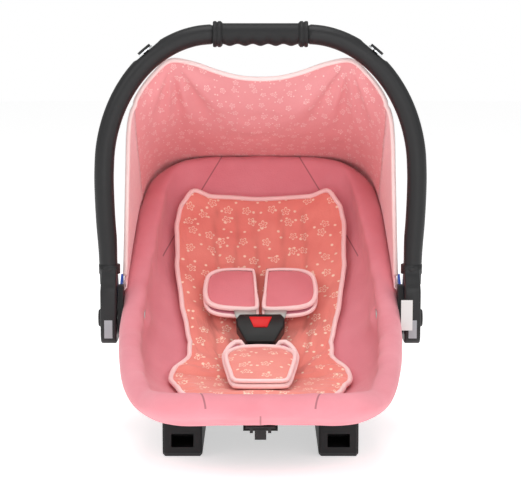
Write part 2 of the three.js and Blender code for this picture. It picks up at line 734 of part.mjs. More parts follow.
function runnerScrew(place) {
  const headZ = place.y < 0 ? 1.5 : 20;
  const head = screwHole(place, 5, headZ, headZ + 3);
  const shank = screwHole(place, 2.2, headZ + 1, 130);
  return geometryOf(head.add(shank).subtract(solidOf(bucketFilled(0.2)))); // ends flush inside the shell
}

function beltGuide(side) {
  const hook = polygonShape([
    [40, 164], [48, 162], [48, 182], [66, 191], [66, 183], [72, 186], [72, 200], [66, 201], [43, 189], [40, 185],
  ]);
  const geometry = geometryOf(solidOf(sideProfile(hook, bracketOuterX - 2.4, bracketOuterX + 0.6)));
  return side > 0 ? geometry : mirrored(geometry);
}

function careLabel() {
  return geometryOf(solidOf(box([hubInnerX + 1, -36, 161], [15, 0.8, 40])));
}

const lever = { y: -232, z: 54.5 };

function adjusterPlate() {
  const plate = solidOf(box([0, lever.y, lever.z + 3.2], [36, 10, 2.4]));
  const ears = [11, -11].map((x) => solidOf(box([x, lever.y, lever.z - 0.5], [4, 8, 6.4])));
  const bore = solidOf(cylinderAlong(new Vector3(-20, lever.y, lever.z), new Vector3(20, lever.y, lever.z), 1.7, 16));
  return geometryOf(plate.add(ears[0]).add(ears[1]).subtract(bore));
}

function adjusterLever() {
  const blade = solidOf(box([0, lever.y, lever.z - 6], [14, 3, 13]));
  const axle = solidOf(cylinderAlong(new Vector3(-12, lever.y, lever.z), new Vector3(12, lever.y, lever.z), 1.3, 16));
  return geometryOf(blade.add(axle));
}

// ---- the assembly ----

const finishes = {
  pinkFabric: [0xe59aa2, 0.92, 0], printFabric: [0xec8279, 0.9, 0], mauveFabric: [0xde7f87, 0.9, 0],
  hoodFabric: [0xe9a0a6, 0.9, 0], blackPlastic: [0x3b3b3c, 0.55, 0], shellPlastic: [0x3f3f3f, 0.6, 0],
  foam: [0xd8d8d4, 0.95, 0], webbing: [0x2e2e30, 0.85, 0], bucklePlastic: [0x2b302e, 0.45, 0],
  redPlastic: [0xdb2929, 0.4, 0], steel: [0x9dabA5, 0.35, 1], gripRubber: [0x2c2d2e, 0.7, 0],
  inlayPlastic: [0xb4b6b8, 0.5, 0], chrome: [0xd0d2d4, 0.2, 1], bluePlastic: [0x2f62c8, 0.5, 0],
  label: [0xf2f2f0, 0.9, 0],
};

function mesh(name, geometry, finish) {
  const [color, roughness, metalness] = finishes[finish];
  const piece = new THREE.Mesh(geometry, new THREE.MeshStandardMaterial({ color, roughness, metalness }));
  piece.name = name;
  piece.material.name = finish;
  return piece;
}

const seat = new THREE.Group();
seat.name = "infant_car_seat";
seat.add(
  mesh("shell", shell(), "shellPlastic"),
  mesh("foam_liner", foamLiner(), "foam"),
  mesh("seat_cover", seatCover(), "pinkFabric"),
  mesh("insert_cushion", insertCushion(), "printFabric"),
  mesh("crotch_pad", crotchPad(), "printFabric"),
  mesh("crotch_strap", crotchStrap(), "webbing"),
  mesh("crotch_anchor", crotchAnchor(), "steel"),
  mesh("buckle_housing", buckleHousing(), "bucklePlastic"),
  mesh("buckle_button", buckleButton(), "redPlastic"),
  mesh("harness_yoke", harnessYoke(), "steel"),
  mesh("handle_arch", handleArch(), "blackPlastic"),
  mesh("handle_grip", handleGrip(), "gripRubber"),
  mesh("canopy", hoodSheet(), "hoodFabric"),
  mesh("care_label", careLabel(), "label"),
  mesh("adjuster_plate", adjusterPlate(), "blackPlastic"),
  mesh("adjuster_lever", adjusterLever(), "blackPlastic")
);
for (const [side, word] of [[1, "right"], [-1, "left"]]) {
  seat.add(
    mesh(`chest_pad_${word}`, chestPad(side), "mauveFabric"),
    mesh(`shoulder_strap_${word}`, shoulderStrap(side), "webbing"),
    mesh(`buckle_tongue_${word}`, buckleTongue(side), "steel"),
    mesh(`hub_inlay_${word}`, hubInlay(side), "inlayPlastic"),
    mesh(`release_button_${word}`, releaseButton(side), "blackPlastic"),
    mesh(`pivot_pin_${word}`, pivotPin(side), "steel"),
    mesh(`pivot_bracket_${word}`, pivotBracket(side), "shellPlastic"),
    mesh(`canopy_stud_${word}`, canopyStud(side), "blackPlastic"),
    mesh(`stud_ring_${word}`, studRing(side), "chrome"),
    mesh(`runner_${word}`, runner(side), "shellPlastic"),
    mesh(`belt_guide_${word}`, beltGuide(side), "bluePlastic")
  );
}
for (const place of screwPlaces()) {
  const word = `${place.side > 0 ? "right" : "left"}_${place.y < 0 ? "front" : "rear"}`;
  seat.add(mesh(`runner_screw_${word}`, runnerScrew(place), "steel"));
}

export default seat;
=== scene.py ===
import math

import bmesh
import bpy
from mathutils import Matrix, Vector, noise


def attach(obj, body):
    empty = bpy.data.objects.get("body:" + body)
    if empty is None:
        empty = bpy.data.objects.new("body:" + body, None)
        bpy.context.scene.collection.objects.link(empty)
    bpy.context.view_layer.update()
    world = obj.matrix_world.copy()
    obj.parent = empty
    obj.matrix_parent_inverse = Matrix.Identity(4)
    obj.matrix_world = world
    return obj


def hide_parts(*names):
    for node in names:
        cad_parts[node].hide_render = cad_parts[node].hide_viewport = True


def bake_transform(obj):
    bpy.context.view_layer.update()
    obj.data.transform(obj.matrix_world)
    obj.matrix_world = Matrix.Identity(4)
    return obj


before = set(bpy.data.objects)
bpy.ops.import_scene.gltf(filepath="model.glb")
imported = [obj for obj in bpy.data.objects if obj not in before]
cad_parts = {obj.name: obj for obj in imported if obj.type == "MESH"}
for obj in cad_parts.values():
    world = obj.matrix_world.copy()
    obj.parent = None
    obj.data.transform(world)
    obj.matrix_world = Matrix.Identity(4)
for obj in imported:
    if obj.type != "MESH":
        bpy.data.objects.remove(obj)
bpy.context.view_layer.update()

mm = 0.001

cameraView = {"distance": 2.4, "elevation": 7.5, "lens": 125.7, "targetHeight": 0.2423}


def placeCamera():
    tilt = math.radians(cameraView["elevation"])
    away = cameraView["distance"]
    camera = bpy.data.objects.new("camera", bpy.data.cameras.new("camera"))
    camera.data.lens = cameraView["lens"]
    camera.data.clip_end = 50
    camera.location = (0, -away * math.cos(tilt), cameraView["targetHeight"] + away * math.sin(tilt))
    camera.rotation_euler = (math.pi / 2 - tilt, 0, 0)
    bpy.context.scene.collection.objects.link(camera)
    bpy.context.scene.camera = camera


placeCamera()
print("camera placed")


def linear(hexText):
    parts = [int(hexText[i:i + 2], 16) / 255 for i in (1, 3, 5)]
    return [c / 12.92 if c <= 0.04045 else ((c + 0.055) / 1.055) ** 2.4 for c in parts] + [1]


def addNode(tree, kind, settings=None, links=None):  # a link may name a node, for its first output
    node = tree.nodes.new("ShaderNode" + kind)
    for key, value in (settings or {}).items():
        if isinstance(key, str) and hasattr(node, key):
            setattr(node, key, value)
        else:
            node.inputs[key].default_value = value
    for key, source in (links or {}).items():
        tree.links.new(source.outputs[0] if isinstance(source, bpy.types.Node) else source, node.inputs[key])
    return node


materials = {}


def startMaterial(name, roughness, **sockets):
    material = materials[name] = bpy.data.materials.new(name)
    material.use_nodes = True
    tree = material.node_tree
    shader = tree.nodes["Principled BSDF"]
    shader.inputs["Roughness"].default_value = roughness
    for key, value in sockets.items():
        shader.inputs[key.replace("_", " ")].default_value = value
    return tree, shader


def fading(start, end):  # settings of a range that is full at start and gone at end
    return {"From Min": start, "From Max": end, "To Min": 1.0, "To Max": 0.0}


def tintedBy(tree, coordinate, light, dark, size):  # slow change of colour over a surface
    cloud = addNode(tree, "TexNoise", {"Scale": 1 / size, "Detail": 3}, {"Vector": coordinate})
    ramp = addNode(tree, "MapRange", {"From Min": 0.25, "From Max": 0.75}, {"Value": cloud.outputs["Fac"]})
    mix = addNode(tree, "Mix", {"data_type": "RGBA", 6: linear(dark), 7: linear(light)}, {0: ramp})
    return mix.outputs[2]


def unevenGloss(tree, shader, coordinate, size, low, high):  # handled and moulded surfaces never shine evenly
    cloud = addNode(tree, "TexNoise", {"Scale": 1 / size, "Detail": 4}, {"Vector": coordinate})
    rough = addNode(tree, "MapRange", {"To Min": low, "To Max": high}, {"Value": cloud.outputs["Fac"]})
    tree.links.new(rough.outputs[0], shader.inputs["Roughness"])


def bumpInto(tree, shader, height, depth, under=None):
    links = {"Height": height}
    if under is not None:
        links["Normal"] = under
    bump = addNode(tree, "Bump", {"Distance": depth, "Strength": 1.0}, links)
    tree.links.new(bump.outputs["Normal"], shader.inputs["Normal"])
    return bump.outputs["Normal"]


insertMotif = {"spacing": 29 * mm, "radius": 6.0 * mm, "line": 0.7 * mm, "heart": 0.5 * mm,
               "dotSpacing": 16 * mm, "dotRadius": 2.0 * mm, "dotsLeftOut": 0.4}
hoodMotif = {"spacing": 27 * mm, "radius": 5.0 * mm, "line": 0.7 * mm, "heart": 0.5 * mm,
             "dotSpacing": 13 * mm, "dotRadius": 1.4 * mm, "dotsLeftOut": 0.4}


def motifMask(tree, coordinate, motif):  # outlined five-petal flowers with dots between them
    cell = addNode(tree, "TexVoronoi",
                   {"voronoi_dimensions": "2D", "Scale": 1 / motif["spacing"], "Randomness": 0.7},
                   {"Vector": coordinate})
    local = addNode(tree, "VectorMath", {"operation": "SUBTRACT"},
                    {0: coordinate, 1: cell.outputs["Position"]})
    split = addNode(tree, "SeparateXYZ", {}, {0: local})
    flatLocal = addNode(tree, "CombineXYZ", {}, {0: split, 1: split.outputs[1]})
    reach = addNode(tree, "VectorMath", {"operation": "LENGTH"}, {0: flatLocal}).outputs["Value"]
    turn = addNode(tree, "Math", {"operation": "ARCTAN2"}, {0: split.outputs[1], 1: split})
    chance = addNode(tree, "SeparateColor", {}, {0: cell.outputs["Color"]})
    lobes = addNode(tree, "Math", {"operation": "MULTIPLY_ADD", 1: 6.283}, {0: chance, 2: turn})
    for settings in ({"operation": "MULTIPLY", 1: 2.5}, {"operation": "COSINE"}, {"operation": "ABSOLUTE"}):
        lobes = addNode(tree, "Math", settings, {0: lobes})
    radius, width, heartSize = motif["radius"], motif["line"], motif["heart"]
    edge = addNode(tree, "Math", {"operation": "MULTIPLY_ADD", 1: 0.66 * radius, 2: 0.34 * radius}, {0: lobes})
    apart = addNode(tree, "Math", {"operation": "SUBTRACT"}, {0: reach, 1: edge})
    gapTo = addNode(tree, "Math", {"operation": "ABSOLUTE"}, {0: apart})
    line = addNode(tree, "MapRange", fading(width * 0.5, width * 1.5), {"Value": gapTo})
    heart = addNode(tree, "MapRange", fading(heartSize, heartSize + width), {"Value": reach})
    dots = addNode(tree, "TexVoronoi",
                   {"voronoi_dimensions": "2D", "Scale": 1 / motif["dotSpacing"], "Randomness": 0.9},
                   {"Vector": coordinate})
    dotScale = motif["dotRadius"] / motif["dotSpacing"]
    dotChance = addNode(tree, "SeparateColor", {}, {0: dots.outputs["Color"]})
    dot = addNode(tree, "MapRange", fading(dotScale * 0.7, dotScale * 1.2),
                  {"Value": dots.outputs["Distance"]})
    some = addNode(tree, "Math", {"operation": "GREATER_THAN", 1: motif["dotsLeftOut"]},
                   {0: dotChance.outputs[1]})
    dotKept = addNode(tree, "Math", {"operation": "MULTIPLY"}, {0: dot, 1: some})
    flower = addNode(tree, "Math", {"operation": "MAXIMUM"}, {0: line, 1: heart})
    return addNode(tree, "Math", {"operation": "MAXIMUM"}, {0: flower, 1: dotKept})


seamLines = {"half": 0.6 * mm, "fade": 1.5 * mm, "headFrom": 150 * mm, "headStart": 269.6 * mm,
             "headLean": 0.62, "lipFrom": -264 * mm, "lipStart": 172.5 * mm, "lipLean": 0.35, "lipTop": 97 * mm,
             "lipFace": 88 * mm}


def coverSeamShade(tree, coordinate):  # painted shade along the sunk seams: two on the head panel, the lip's corners and its middle
    place = addNode(tree, "SeparateXYZ", {}, {0: coordinate})
    x, y, z = place.outputs
    sideways = addNode(tree, "Math", {"operation": "ABSOLUTE"}, {0: x})
    seamShade = None
    for lean, along, start, gates in (
            (seamLines["headLean"], z, seamLines["headStart"], [(y, "GREATER_THAN", seamLines["headFrom"])]),
            (-seamLines["lipLean"], y, seamLines["lipStart"],
             [(y, "LESS_THAN", seamLines["lipFrom"]), (z, "GREATER_THAN", seamLines["lipTop"])]),
            (0, z, 0, [(y, "LESS_THAN", seamLines["lipFrom"]), (z, "LESS_THAN", seamLines["lipFace"])])):
        tilt = addNode(tree, "Math", {"operation": "MULTIPLY_ADD", 1: lean}, {0: along, 2: sideways})
        apart = addNode(tree, "Math", {"operation": "SUBTRACT", 1: start}, {0: tilt})
        near = addNode(tree, "Math", {"operation": "ABSOLUTE"}, {0: apart})
        line = addNode(tree, "MapRange", fading(seamLines["half"], seamLines["fade"]), {"Value": near})
        for source, test, limit in gates:
            gate = addNode(tree, "Math", {"operation": test, 1: limit}, {0: source})
            line = addNode(tree, "Math", {"operation": "MULTIPLY"}, {0: line, 1: gate})
        seamShade = line if seamShade is None else addNode(tree, "Math", {"operation": "MAXIMUM"}, {0: seamShade, 1: line})
    return seamShade


def clothMaterial(name, light, dark, thread=2.2 * mm, motif=None, ink=None, paintedLightPanel=None, seams=False,
                  sheen=0.2):
    # woven cloth: soft sheen at grazing angles; threads drawn coarser than the real 0.5 mm so that they show
    tree, shader = startMaterial(name, 0.92, Sheen_Weight=sheen, Sheen_Roughness=0.5, Specular_IOR_Level=0.2)
    place = addNode(tree, "TexCoord")
    coordinate = place.outputs["Object"]
    colour = tintedBy(tree, coordinate, light, dark, 60 * mm)
    if paintedLightPanel:  # painted light: the hood's side panels get a paler colour, as if lit from the side
        side = addNode(tree, "Attribute", {"attribute_name": "paintedLightSidePanel"})
        joined = addNode(tree, "Mix", {"data_type": "RGBA", 7: linear(paintedLightPanel)},
                         {0: side.outputs["Fac"], 6: colour})
        colour = joined.outputs[2]
    if motif:
        mask = motifMask(tree, place.outputs["UV"], motif)
        printed = addNode(tree, "Mix", {"data_type": "RGBA", 7: linear(ink)}, {0: mask, 6: colour})
        colour = printed.outputs[2]
    # painted shade: the cloth is darkened along its sunk seams, down to 0.55 of its colour
    if seams:
        seamShade = coverSeamShade(tree, coordinate)
    else:
        seamShade = addNode(tree, "Attribute", {"attribute_name": "seam"}).outputs["Fac"]
    shade = addNode(tree, "MapRange", {"To Min": 1.0, "To Max": 0.55}, {"Value": seamShade})
    seamShadedColour = addNode(tree, "VectorMath", {"operation": "SCALE"}, {0: colour, "Scale": shade})
    tree.links.new(seamShadedColour.outputs[0], shader.inputs["Base Color"])
    weave = addNode(tree, "TexNoise", {"Scale": 1 / thread, "Detail": 2}, {"Vector": coordinate})
    folds = addNode(tree, "TexNoise", {"Scale": 1 / (35 * mm), "Detail": 2}, {"Vector": coordinate})
    soft = bumpInto(tree, shader, folds.outputs["Fac"], 2.0 * mm)
    bumpInto(tree, shader, weave.outputs["Fac"], 0.35 * mm, soft)


def plasticMaterial(name, colour, roughness, grain=1.2 * mm, depth=0.08 * mm):
    # injection moulded: fine spark-eroded grain that breaks up the highlight
    tree, shader = startMaterial(name, roughness, IOR=1.5, Specular_IOR_Level=0.3)
    coordinate = addNode(tree, "TexCoord").outputs["Object"]
    unevenGloss(tree, shader, coordinate, 30 * mm, roughness - 0.06, roughness + 0.08)
    shader.inputs["Base Color"].default_value = linear(colour)
    grit = addNode(tree, "TexNoise", {"Scale": 1 / grain, "Detail": 2}, {"Vector": coordinate})
    bumpInto(tree, shader, grit.outputs["Fac"], depth)


def metalMaterial(name, colour, roughness):
    # pressed and tumbled metal: faint uneven polish
    tree, shader = startMaterial(name, roughness, Metallic=1.0)
    coordinate = addNode(tree, "TexCoord").outputs["Object"]
    unevenGloss(tree, shader, coordinate, 4 * mm, roughness - 0.08, roughness + 0.12)
    shader.inputs["Base Color"].default_value = linear(colour)


# brushed polyester knit over foam: dull and soft, with painted shade along its sunk seams
clothMaterial("coverKnit", "#e796a0", "#de8892", seams=True)
# printed cotton: flat salmon ground with pale ink
clothMaterial("insertPrint", "#f49a8d", "#ec8b80", motif=insertMotif, ink="#ffe3cc")
# the same knit in a deeper rose, tightly filled
clothMaterial("padKnit", "#e48b93", "#dc7f87")
# plain lining, cooler and darker than the pad's face
clothMaterial("padLining", "#d98a9c", "#cd7d90")
# thin printed polyester: light comes off it evenly; its side panels are painted paler, as painted light
clothMaterial("hoodPrint", "#f4adb0", "#efa4a7", motif=hoodMotif, ink="#ffdcd9", paintedLightPanel="#f9cdd0")
# folded bias tape: the palest cloth, it draws every outline
clothMaterial("pipingTape", "#ffe2df", "#fcd8d6", thread=1.5 * mm)
# polyester webbing: near black with a dull ribbed face
clothMaterial("webbingWeave", "#2c2c2e", "#202022", thread=1.6 * mm, sheen=0.1)
# woven label, blank and off-white
clothMaterial("labelTape", "#dcdcda", "#d2d2d0", thread=1.2 * mm, sheen=0.05)
# moulded polypropylene, satin: a long soft highlight along the tube
plasticMaterial("handlePlastic", "#232324", 0.4)
# moulded polypropylene, duller: hardly any highlight
plasticMaterial("shellPlastic", "#1c1c1d", 0.55)
# soft-touch thermoplastic rubber: a broad dim highlight
plasticMaterial("gripRubber", "#1e1e1f", 0.5, depth=0.12 * mm)
# moulded nylon, smoother: small clear highlights on its edges
plasticMaterial("bucklePlastic", "#181a19", 0.35)
# moulded ABS, glossy red: the brightest spot of the harness
plasticMaterial("redPlastic", "#d81f1f", 0.35)
# moulded polypropylene, coloured through: flat blue
plasticMaterial("bluePlastic", "#2456c4", 0.4)
# moulded grey polypropylene: a light patch on each hub
plasticMaterial("inlayPlastic", "#9c9fa3", 0.4)
# expanded polystyrene: off-white with the beads just showing
plasticMaterial("foamBeads", "#dededa", 0.9, grain=4 * mm, depth=0.4 * mm)
# zinc plated and tumbled steel: grey-green and blurred
metalMaterial("harnessSteel", "#a9b5b0", 0.38)
# chrome plated ring: thin bright line
metalMaterial("ringChrome", "#dcdee0", 0.18)
print("materials made")


def markSeamShade(piece, share):  # how far each point lies in a seam, for the material's painted shade there
    layer = piece.data.attributes.new("seam", "FLOAT", "POINT")
    for v in piece.data.vertices:
        layer.data[v.index].value = share(v.co / mm)


def finishPiece(name, bm, material, body, levels=0, replaces=(), slot=None):
    bmesh.ops.remove_doubles(bm, verts=bm.verts[:], dist=1e-6)
    bmesh.ops.recalc_face_normals(bm, faces=bm.faces[:])
    mesh = bpy.data.meshes.new(name)
    bm.to_mesh(mesh)
    bm.free()
    mesh.shade_smooth()
    piece = bpy.data.objects.new(name, mesh)
    bpy.context.scene.collection.objects.link(piece)
    piece.data.materials.append(materials[material])
    if levels:
        divide = piece.modifiers.new("divide", "SUBSURF")
        divide.levels = divide.render_levels = levels
    if body:
        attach(piece, body)
    if replaces:
        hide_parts(*replaces)
    return piece


def keepEdges(piece, angle=0.7):  # edges sharper than this stay crisp, in radians
    piece.data.set_sharp_from_angle(angle=angle)


def ringSkin(rings, joined=False):
    # one loop extruded through every ring of points in turn, closed at both ends or joined end to start
    bm = bmesh.new()
    bmesh.ops.create_circle(bm, segments=len(rings[0]), radius=1)
    bm.verts.ensure_lookup_table()
    order = {v: i for i, v in enumerate(bm.verts)}
    for v, i in order.items():
        v.co = rings[0][i]
    edges = bm.edges[:]
    firstEdges = edges[:]
    for ring in rings[1:]:
        grown = bmesh.ops.extrude_edge_only(bm, edges=edges)["geom"]
        edges = [g for g in grown if isinstance(g, bmesh.types.BMEdge)]
        fresh = {}
        for v in (g for g in grown if isinstance(g, bmesh.types.BMVert)):
            for e in v.link_edges:
                before = e.other_vert(v)
                if before in order:
                    fresh[v] = order[before]
        for v, i in fresh.items():
            v.co = ring[i]
        order = fresh
        edges = [e for e in edges if e.verts[0] in fresh and e.verts[1] in fresh]
    if joined:
        bmesh.ops.bridge_loops(bm, edges=firstEdges + edges)
    else:
        for loop in (firstEdges, edges):
            made = bmesh.ops.contextual_create(bm, geom=loop)["faces"]
            bmesh.ops.poke(bm, faces=made)
    return bm


def curveBetween(a, b, c, d, t):  # smooth curve from b to c, with a before and d after them
    return 0.5 * ((2 * b) + (c - a) * t + (2 * a - 5 * b + 4 * c - d) * t * t
                  + (3 * b - a - 3 * c + d) * t ** 3)


def smoothLine(points, count, closed=False):  # evenly spaced points on a smooth curve through the given ones
    fine = []
    total = len(points)
    spans = total if closed else total - 1
    pick = (lambda k: points[k % total]) if closed else (lambda k: points[max(0, min(total - 1, k))])
    for s in range(spans):
        a, b, c, d = (Vector(pick(s + k)) for k in (-1, 0, 1, 2))
        for step in range(24):
            fine.append(curveBetween(a, b, c, d, step / 24))
    fine.append(Vector(points[0]) if closed else Vector(points[-1]))
    lengths = [0]
    for a, b in zip(fine, fine[1:]):
        lengths.append(lengths[-1] + (b - a).length)
    out, k = [], 0
    steps = count if closed else count - 1
    for i in range(count):
        want = lengths[-1] * i / steps
        while k + 1 < len(lengths) - 1 and lengths[k + 1] < want:
            k += 1
        span = max(1e-12, lengths[k + 1] - lengths[k])
        out.append(fine[k].lerp(fine[k + 1], (want - lengths[k]) / span))
    return out


def tubeRings(line, radius, segments=10, closed=False, up=None):
    rings = []
    count = len(line)
    side = None
    for i, p in enumerate(line):
        ahead = line[(i + 1) % count] if closed else line[min(i + 1, count - 1)]
        behind = line[i - 1] if closed or i else line[0]
        along = (ahead - behind).normalized()
        if up is not None:
            side = along.cross(up).normalized()
        elif side is None:
            side = along.orthogonal().normalized()
        else:
            side = (side - along * side.dot(along)).normalized()
        other = along.cross(side)
        r = radius(i / max(1, count - 1)) if callable(radius) else radius
        rings.append([p + side * math.cos(a) * r + other * math.sin(a) * r
                      for a in (2 * math.pi * k / segments for k in range(segments))])
    return rings


def tube(name, line, radius, material, body, segments=10, closed=False, **more):
    rings = tubeRings(line, radius, segments, closed)
    return finishPiece(name, ringSkin(rings, joined=closed), material, body, **more)


def plate(outline, toPoint, depth, bevel, segments):
    # flat outline placed by toPoint(a, b, height), extruded by depth, with rounded edges
    bm = bmesh.new()
    bmesh.ops.create_circle(bm, cap_ends=True, segments=len(outline), radius=1)
    bm.verts.ensure_lookup_table()
    for v, (a, b) in zip(bm.verts, outline):
        v.co = (a, b, 0)
    grown = bmesh.ops.extrude_face_region(bm, geom=bm.faces[:])["geom"]
    bmesh.ops.translate(bm, verts=[g for g in grown if isinstance(g, bmesh.types.BMVert)], vec=(0, 0, depth))
    bmesh.ops.recalc_face_normals(bm, faces=bm.faces[:])
    sharp = [e for e in bm.edges if e.calc_face_angle(0) > 0.9]
    bmesh.ops.bevel(bm, geom=sharp, offset=bevel, segments=segments, affect="EDGES", profile=0.5, material=-1)
    for v in bm.verts:
        v.co = toPoint(*v.co)
    return bm


bucket = {
    "bottom": (0, -80, 46), "wall": 4, "lining": 16.8, "pivot": (0, 10, 150),
    "rim": [(0, -298, 94), (62, -296, 93), (112, -282, 90), (140, -245, 90), (157, -194, 103), (167, -125, 122),
            (172, -50, 140), (171, 25, 172), (167, 110, 221), (161, 198, 271), (148, 256, 302), (114, 286, 317),
            (60, 293, 322), (0, 294, 323)],
}
rimControl = [Vector(p) for p in bucket["rim"]]
rimControl += [Vector((-p.x, p.y, p.z)) for p in reversed(rimControl[1:-1])]
bottom = Vector(bucket["bottom"])


def rimAt(u):
    total = len(rimControl)
    place = (u % 1) * total
    s = int(place)
    t = place - s
    return curveBetween(*(rimControl[(s + k) % total] for k in (-1, 0, 1, 2)), t)


def bucketPoint(u, r):
    reach = rimAt(u) - bottom
    sideways = (abs(reach.x) / math.hypot(reach.x, reach.y)) ** 3
    outward = 1 - (1 - min(r, 1)) ** (1.2 + sideways) + max(0, r - 1) * 0.3
    upward = r ** (1.6 + 0.6 * sideways)
    return bottom + Vector((reach.x * outward, reach.y * outward, reach.z * upward))


def bucketNormal(u, r):
    low = max(0.06, min(0.95, r))
    up = bucketPoint(u, low + 0.03) - bucketPoint(u, low - 0.03)
    around = bucketPoint(u + 0.025, low) - bucketPoint(u - 0.025, low)
    return up.cross(around).normalized()


def bed(u, r, offset):
    return bucketPoint(u, r) + bucketNormal(u, r) * offset


def besideRim(u, outward, upward):
    up = (bucketPoint(u, 0.98) - bucketPoint(u, 0.92)).normalized()
    return bucketPoint(u, 1) - bucketNormal(u, 0.95) * outward + up * upward


def headShare(u):
    return max(0, (rimAt(u).y - 60) / 234)


cover = {"footDrop": 6, "rollWidth": 19.5, "headRoll": 0.55, "skirtEnd": 0.6, "gather": 3.4, "seam": 1.9,
         "seamWidth": 2.4, "headSeam": (60, 338, 0.62), "lipSeam": 71, "lipLean": 0.35, "pinRoom": (8, 20),
         "around": 288, "down": 24}
coverTurns = [i / cover["around"] for i in range(cover["around"])]


def seamDip(p):
    # sunk seams: two down the head panel, the mitred corners of the front lip and one at its middle
    dip = 0
    if p.y > 150:
        x0, z0, lean = cover["headSeam"]
        dip = math.exp(-((abs(p.x) - x0 - (z0 - p.z) * lean) / cover["seamWidth"]) ** 2)
    elif p.y < -262:
        corner = abs(p.x) - cover["lipSeam"] - (p.y + 290) * cover["lipLean"]
        dip = math.exp(-(corner / cover["seamWidth"]) ** 2) * (0.9 if p.z > 96 else 0.25)
        if p.z < 88:
            dip = max(dip, 0.7 * math.exp(-(p.x / cover["seamWidth"]) ** 2))
    return -cover["seam"] * dip


def coverWrinkle(p):
    # gathers where the cover is drawn in at the shoulders, faint ripples elsewhere
    shoulder = math.exp(-((p.y - 100) / 55) ** 2) * max(0, min(1, (p.z - 165) / 45))
    ripple = math.sin(p.y * 0.36 + p.z * 0.2 + 2.6 * noise.noise(p * 0.03)) * shoulder * cover["gather"]
    return ripple + noise.noise(p * 0.014) * 2.2 + noise.noise(p * 0.045) * 0.5


def footShare(u):
    return max(0, (-rimAt(u).y - 220) / 78)


def coverLoop(function):
    return [function(u) * mm for u in coverTurns]


def coverRing(u, r, offset):
    p = bed(u, r, offset)
    height, spread = cover["pinRoom"]  # the cover swells over the head of each pivot pin
    fromPin = math.hypot(p.y - bucket["pivot"][1], p.z - bucket["pivot"][2])
    overPin = height * math.exp(-(fromPin / spread) ** 2) if abs(p.x) > 120 else 0
    return p + bucketNormal(u, r) * (coverWrinkle(p) + seamDip(p) + overPin)


def makeCover():
    under = -(bucket["wall"] + 0.7)
    end = lambda u: cover["skirtEnd"] + 0.2 * headShare(u)
    rings = []
    for k in range(1, cover["down"] + 1):
        r = 0.9 * (k / cover["down"]) ** 0.85
        rings.append(coverLoop(lambda u: coverRing(u, r, bucket["lining"])))
    roll = [(-0.86, -8), (-0.93, -3), (-0.97, 3), (-0.9, 9), (-0.68, 13.6), (-0.36, 16), (-0.02, 16.4),
            (0.26, 14.6), (0.46, 11), (0.56, 5.5), (0.585, -1), (0.56, -8)]  # padded rim, inner side first
    for outward, upward in roll:
        def rollPoint(u):
            wide = cover["rollWidth"] * (1 + (cover["headRoll"] * headShare(u) if outward < 0 else 0))
            p = besideRim(u, outward * wide, upward)
            lump = noise.noise(p * 0.02)
            swell = lump * 1.4 + 1.1 * math.sin(p.y * 0.11 + 3 * lump) * max(0, -outward)
            away = (besideRim(u, outward * wide * 1.1, upward * 1.1) - besideRim(u, 0, 0)).normalized()
            return p + away * (min(swell, 1.2) + seamDip(p))
        rings.append(coverLoop(rollPoint))
    for share in (0.1, 0.3, 0.5, 0.7, 0.85, 1.0):  # the skirt runs back under the rim
        def skirtPoint(u):
            hang = cover["footDrop"] * footShare(u) * (1 - share)
            offset = under - 3.4 + 1.3 * share - hang - 0.8 * noise.noise(rimAt(u) * 0.04)
            return bed(u, 0.9 + (end(u) - 0.9) * share, offset + 0.4 * seamDip(bed(u, 0.9, under)))
        rings.append(coverLoop(skirtPoint))
    rings.append(coverLoop(lambda u: bed(u, end(u) - 0.012, under - 0.6)))
    for share in (0.9, 0.5, 0.1):
        rings.append(coverLoop(lambda u: bed(u, 0.9 + (end(u) - 0.9) * share, under)))
    for outward, upward in ((bucket["wall"] + 0.8, 1), (-0.4, 1)):
        rings.append(coverLoop(lambda u: besideRim(u, outward, upward)))
    for r in (0.9, 0.75, 0.55, 0.35, 0.15):
        rings.append(coverLoop(lambda u: bed(u, r, bucket["lining"] - 8 if r < 0.9 else 1.2)))
    return finishPiece("coverCloth", ringSkin(rings), "coverKnit", "seat", levels=1, replaces=["seat_cover"],
                       slot="pink_fabric")


coverCloth = makeCover()
print("cover made")


filling = {"pressure": 4, "furthest": 4 * mm, "swell": 0.03, "mass": 0.25, "frames": 20}


def puff(piece, held):
    # air pressure fills the pad between its held seams, and no point moves further than the furthest
    pins = piece.vertex_groups.new(name="pins")
    before = [v.co.copy() for v in piece.data.vertices]
    for index, co in enumerate(before):
        weight = held(co)
        if weight > 0:
            pins.add([index], weight, "REPLACE")
    paused = list(piece.modifiers)
    for m in paused:
        m.show_viewport = False
    cloth = piece.modifiers.new("cloth", "CLOTH")
    piece.modifiers.move(len(piece.modifiers) - 1, 0)
    cloth.settings.use_pressure = True
    cloth.settings.uniform_pressure_force = filling["pressure"]
    cloth.settings.effector_weights.gravity = 0
    cloth.settings.vertex_group_mass = "pins"
    cloth.settings.shrink_min = -filling["swell"]
    cloth.settings.mass = filling["mass"]
    cloth.settings.quality = 4
    cloth.point_cache.frame_start, cloth.point_cache.frame_end = 1, filling["frames"]
    scene = bpy.context.scene
    for frameNumber in range(1, filling["frames"] + 1):
        scene.frame_set(frameNumber)
    settled = piece.evaluated_get(bpy.context.evaluated_depsgraph_get()).data
    after = [v.co.copy() for v in settled.vertices]
    piece.modifiers.remove(cloth)
    piece.vertex_groups.clear()
    for m in paused:
        m.show_viewport = True
    for v, old, new in zip(piece.data.vertices, before, after):
        move = new - old
        v.co = old + move * min(1, filling["furthest"] / max(move.length, 1e-9))
    scene.frame_set(1)


insert = {"under": 17.4, "thickness": 14, "seamsX": (-62, -34, -6, 30, 62), "waist": 62, "around": 240,
          "down": 28, "quilt": 3.2, "headCurl": 10, "sideCurl": 6, "piping": 3.4}
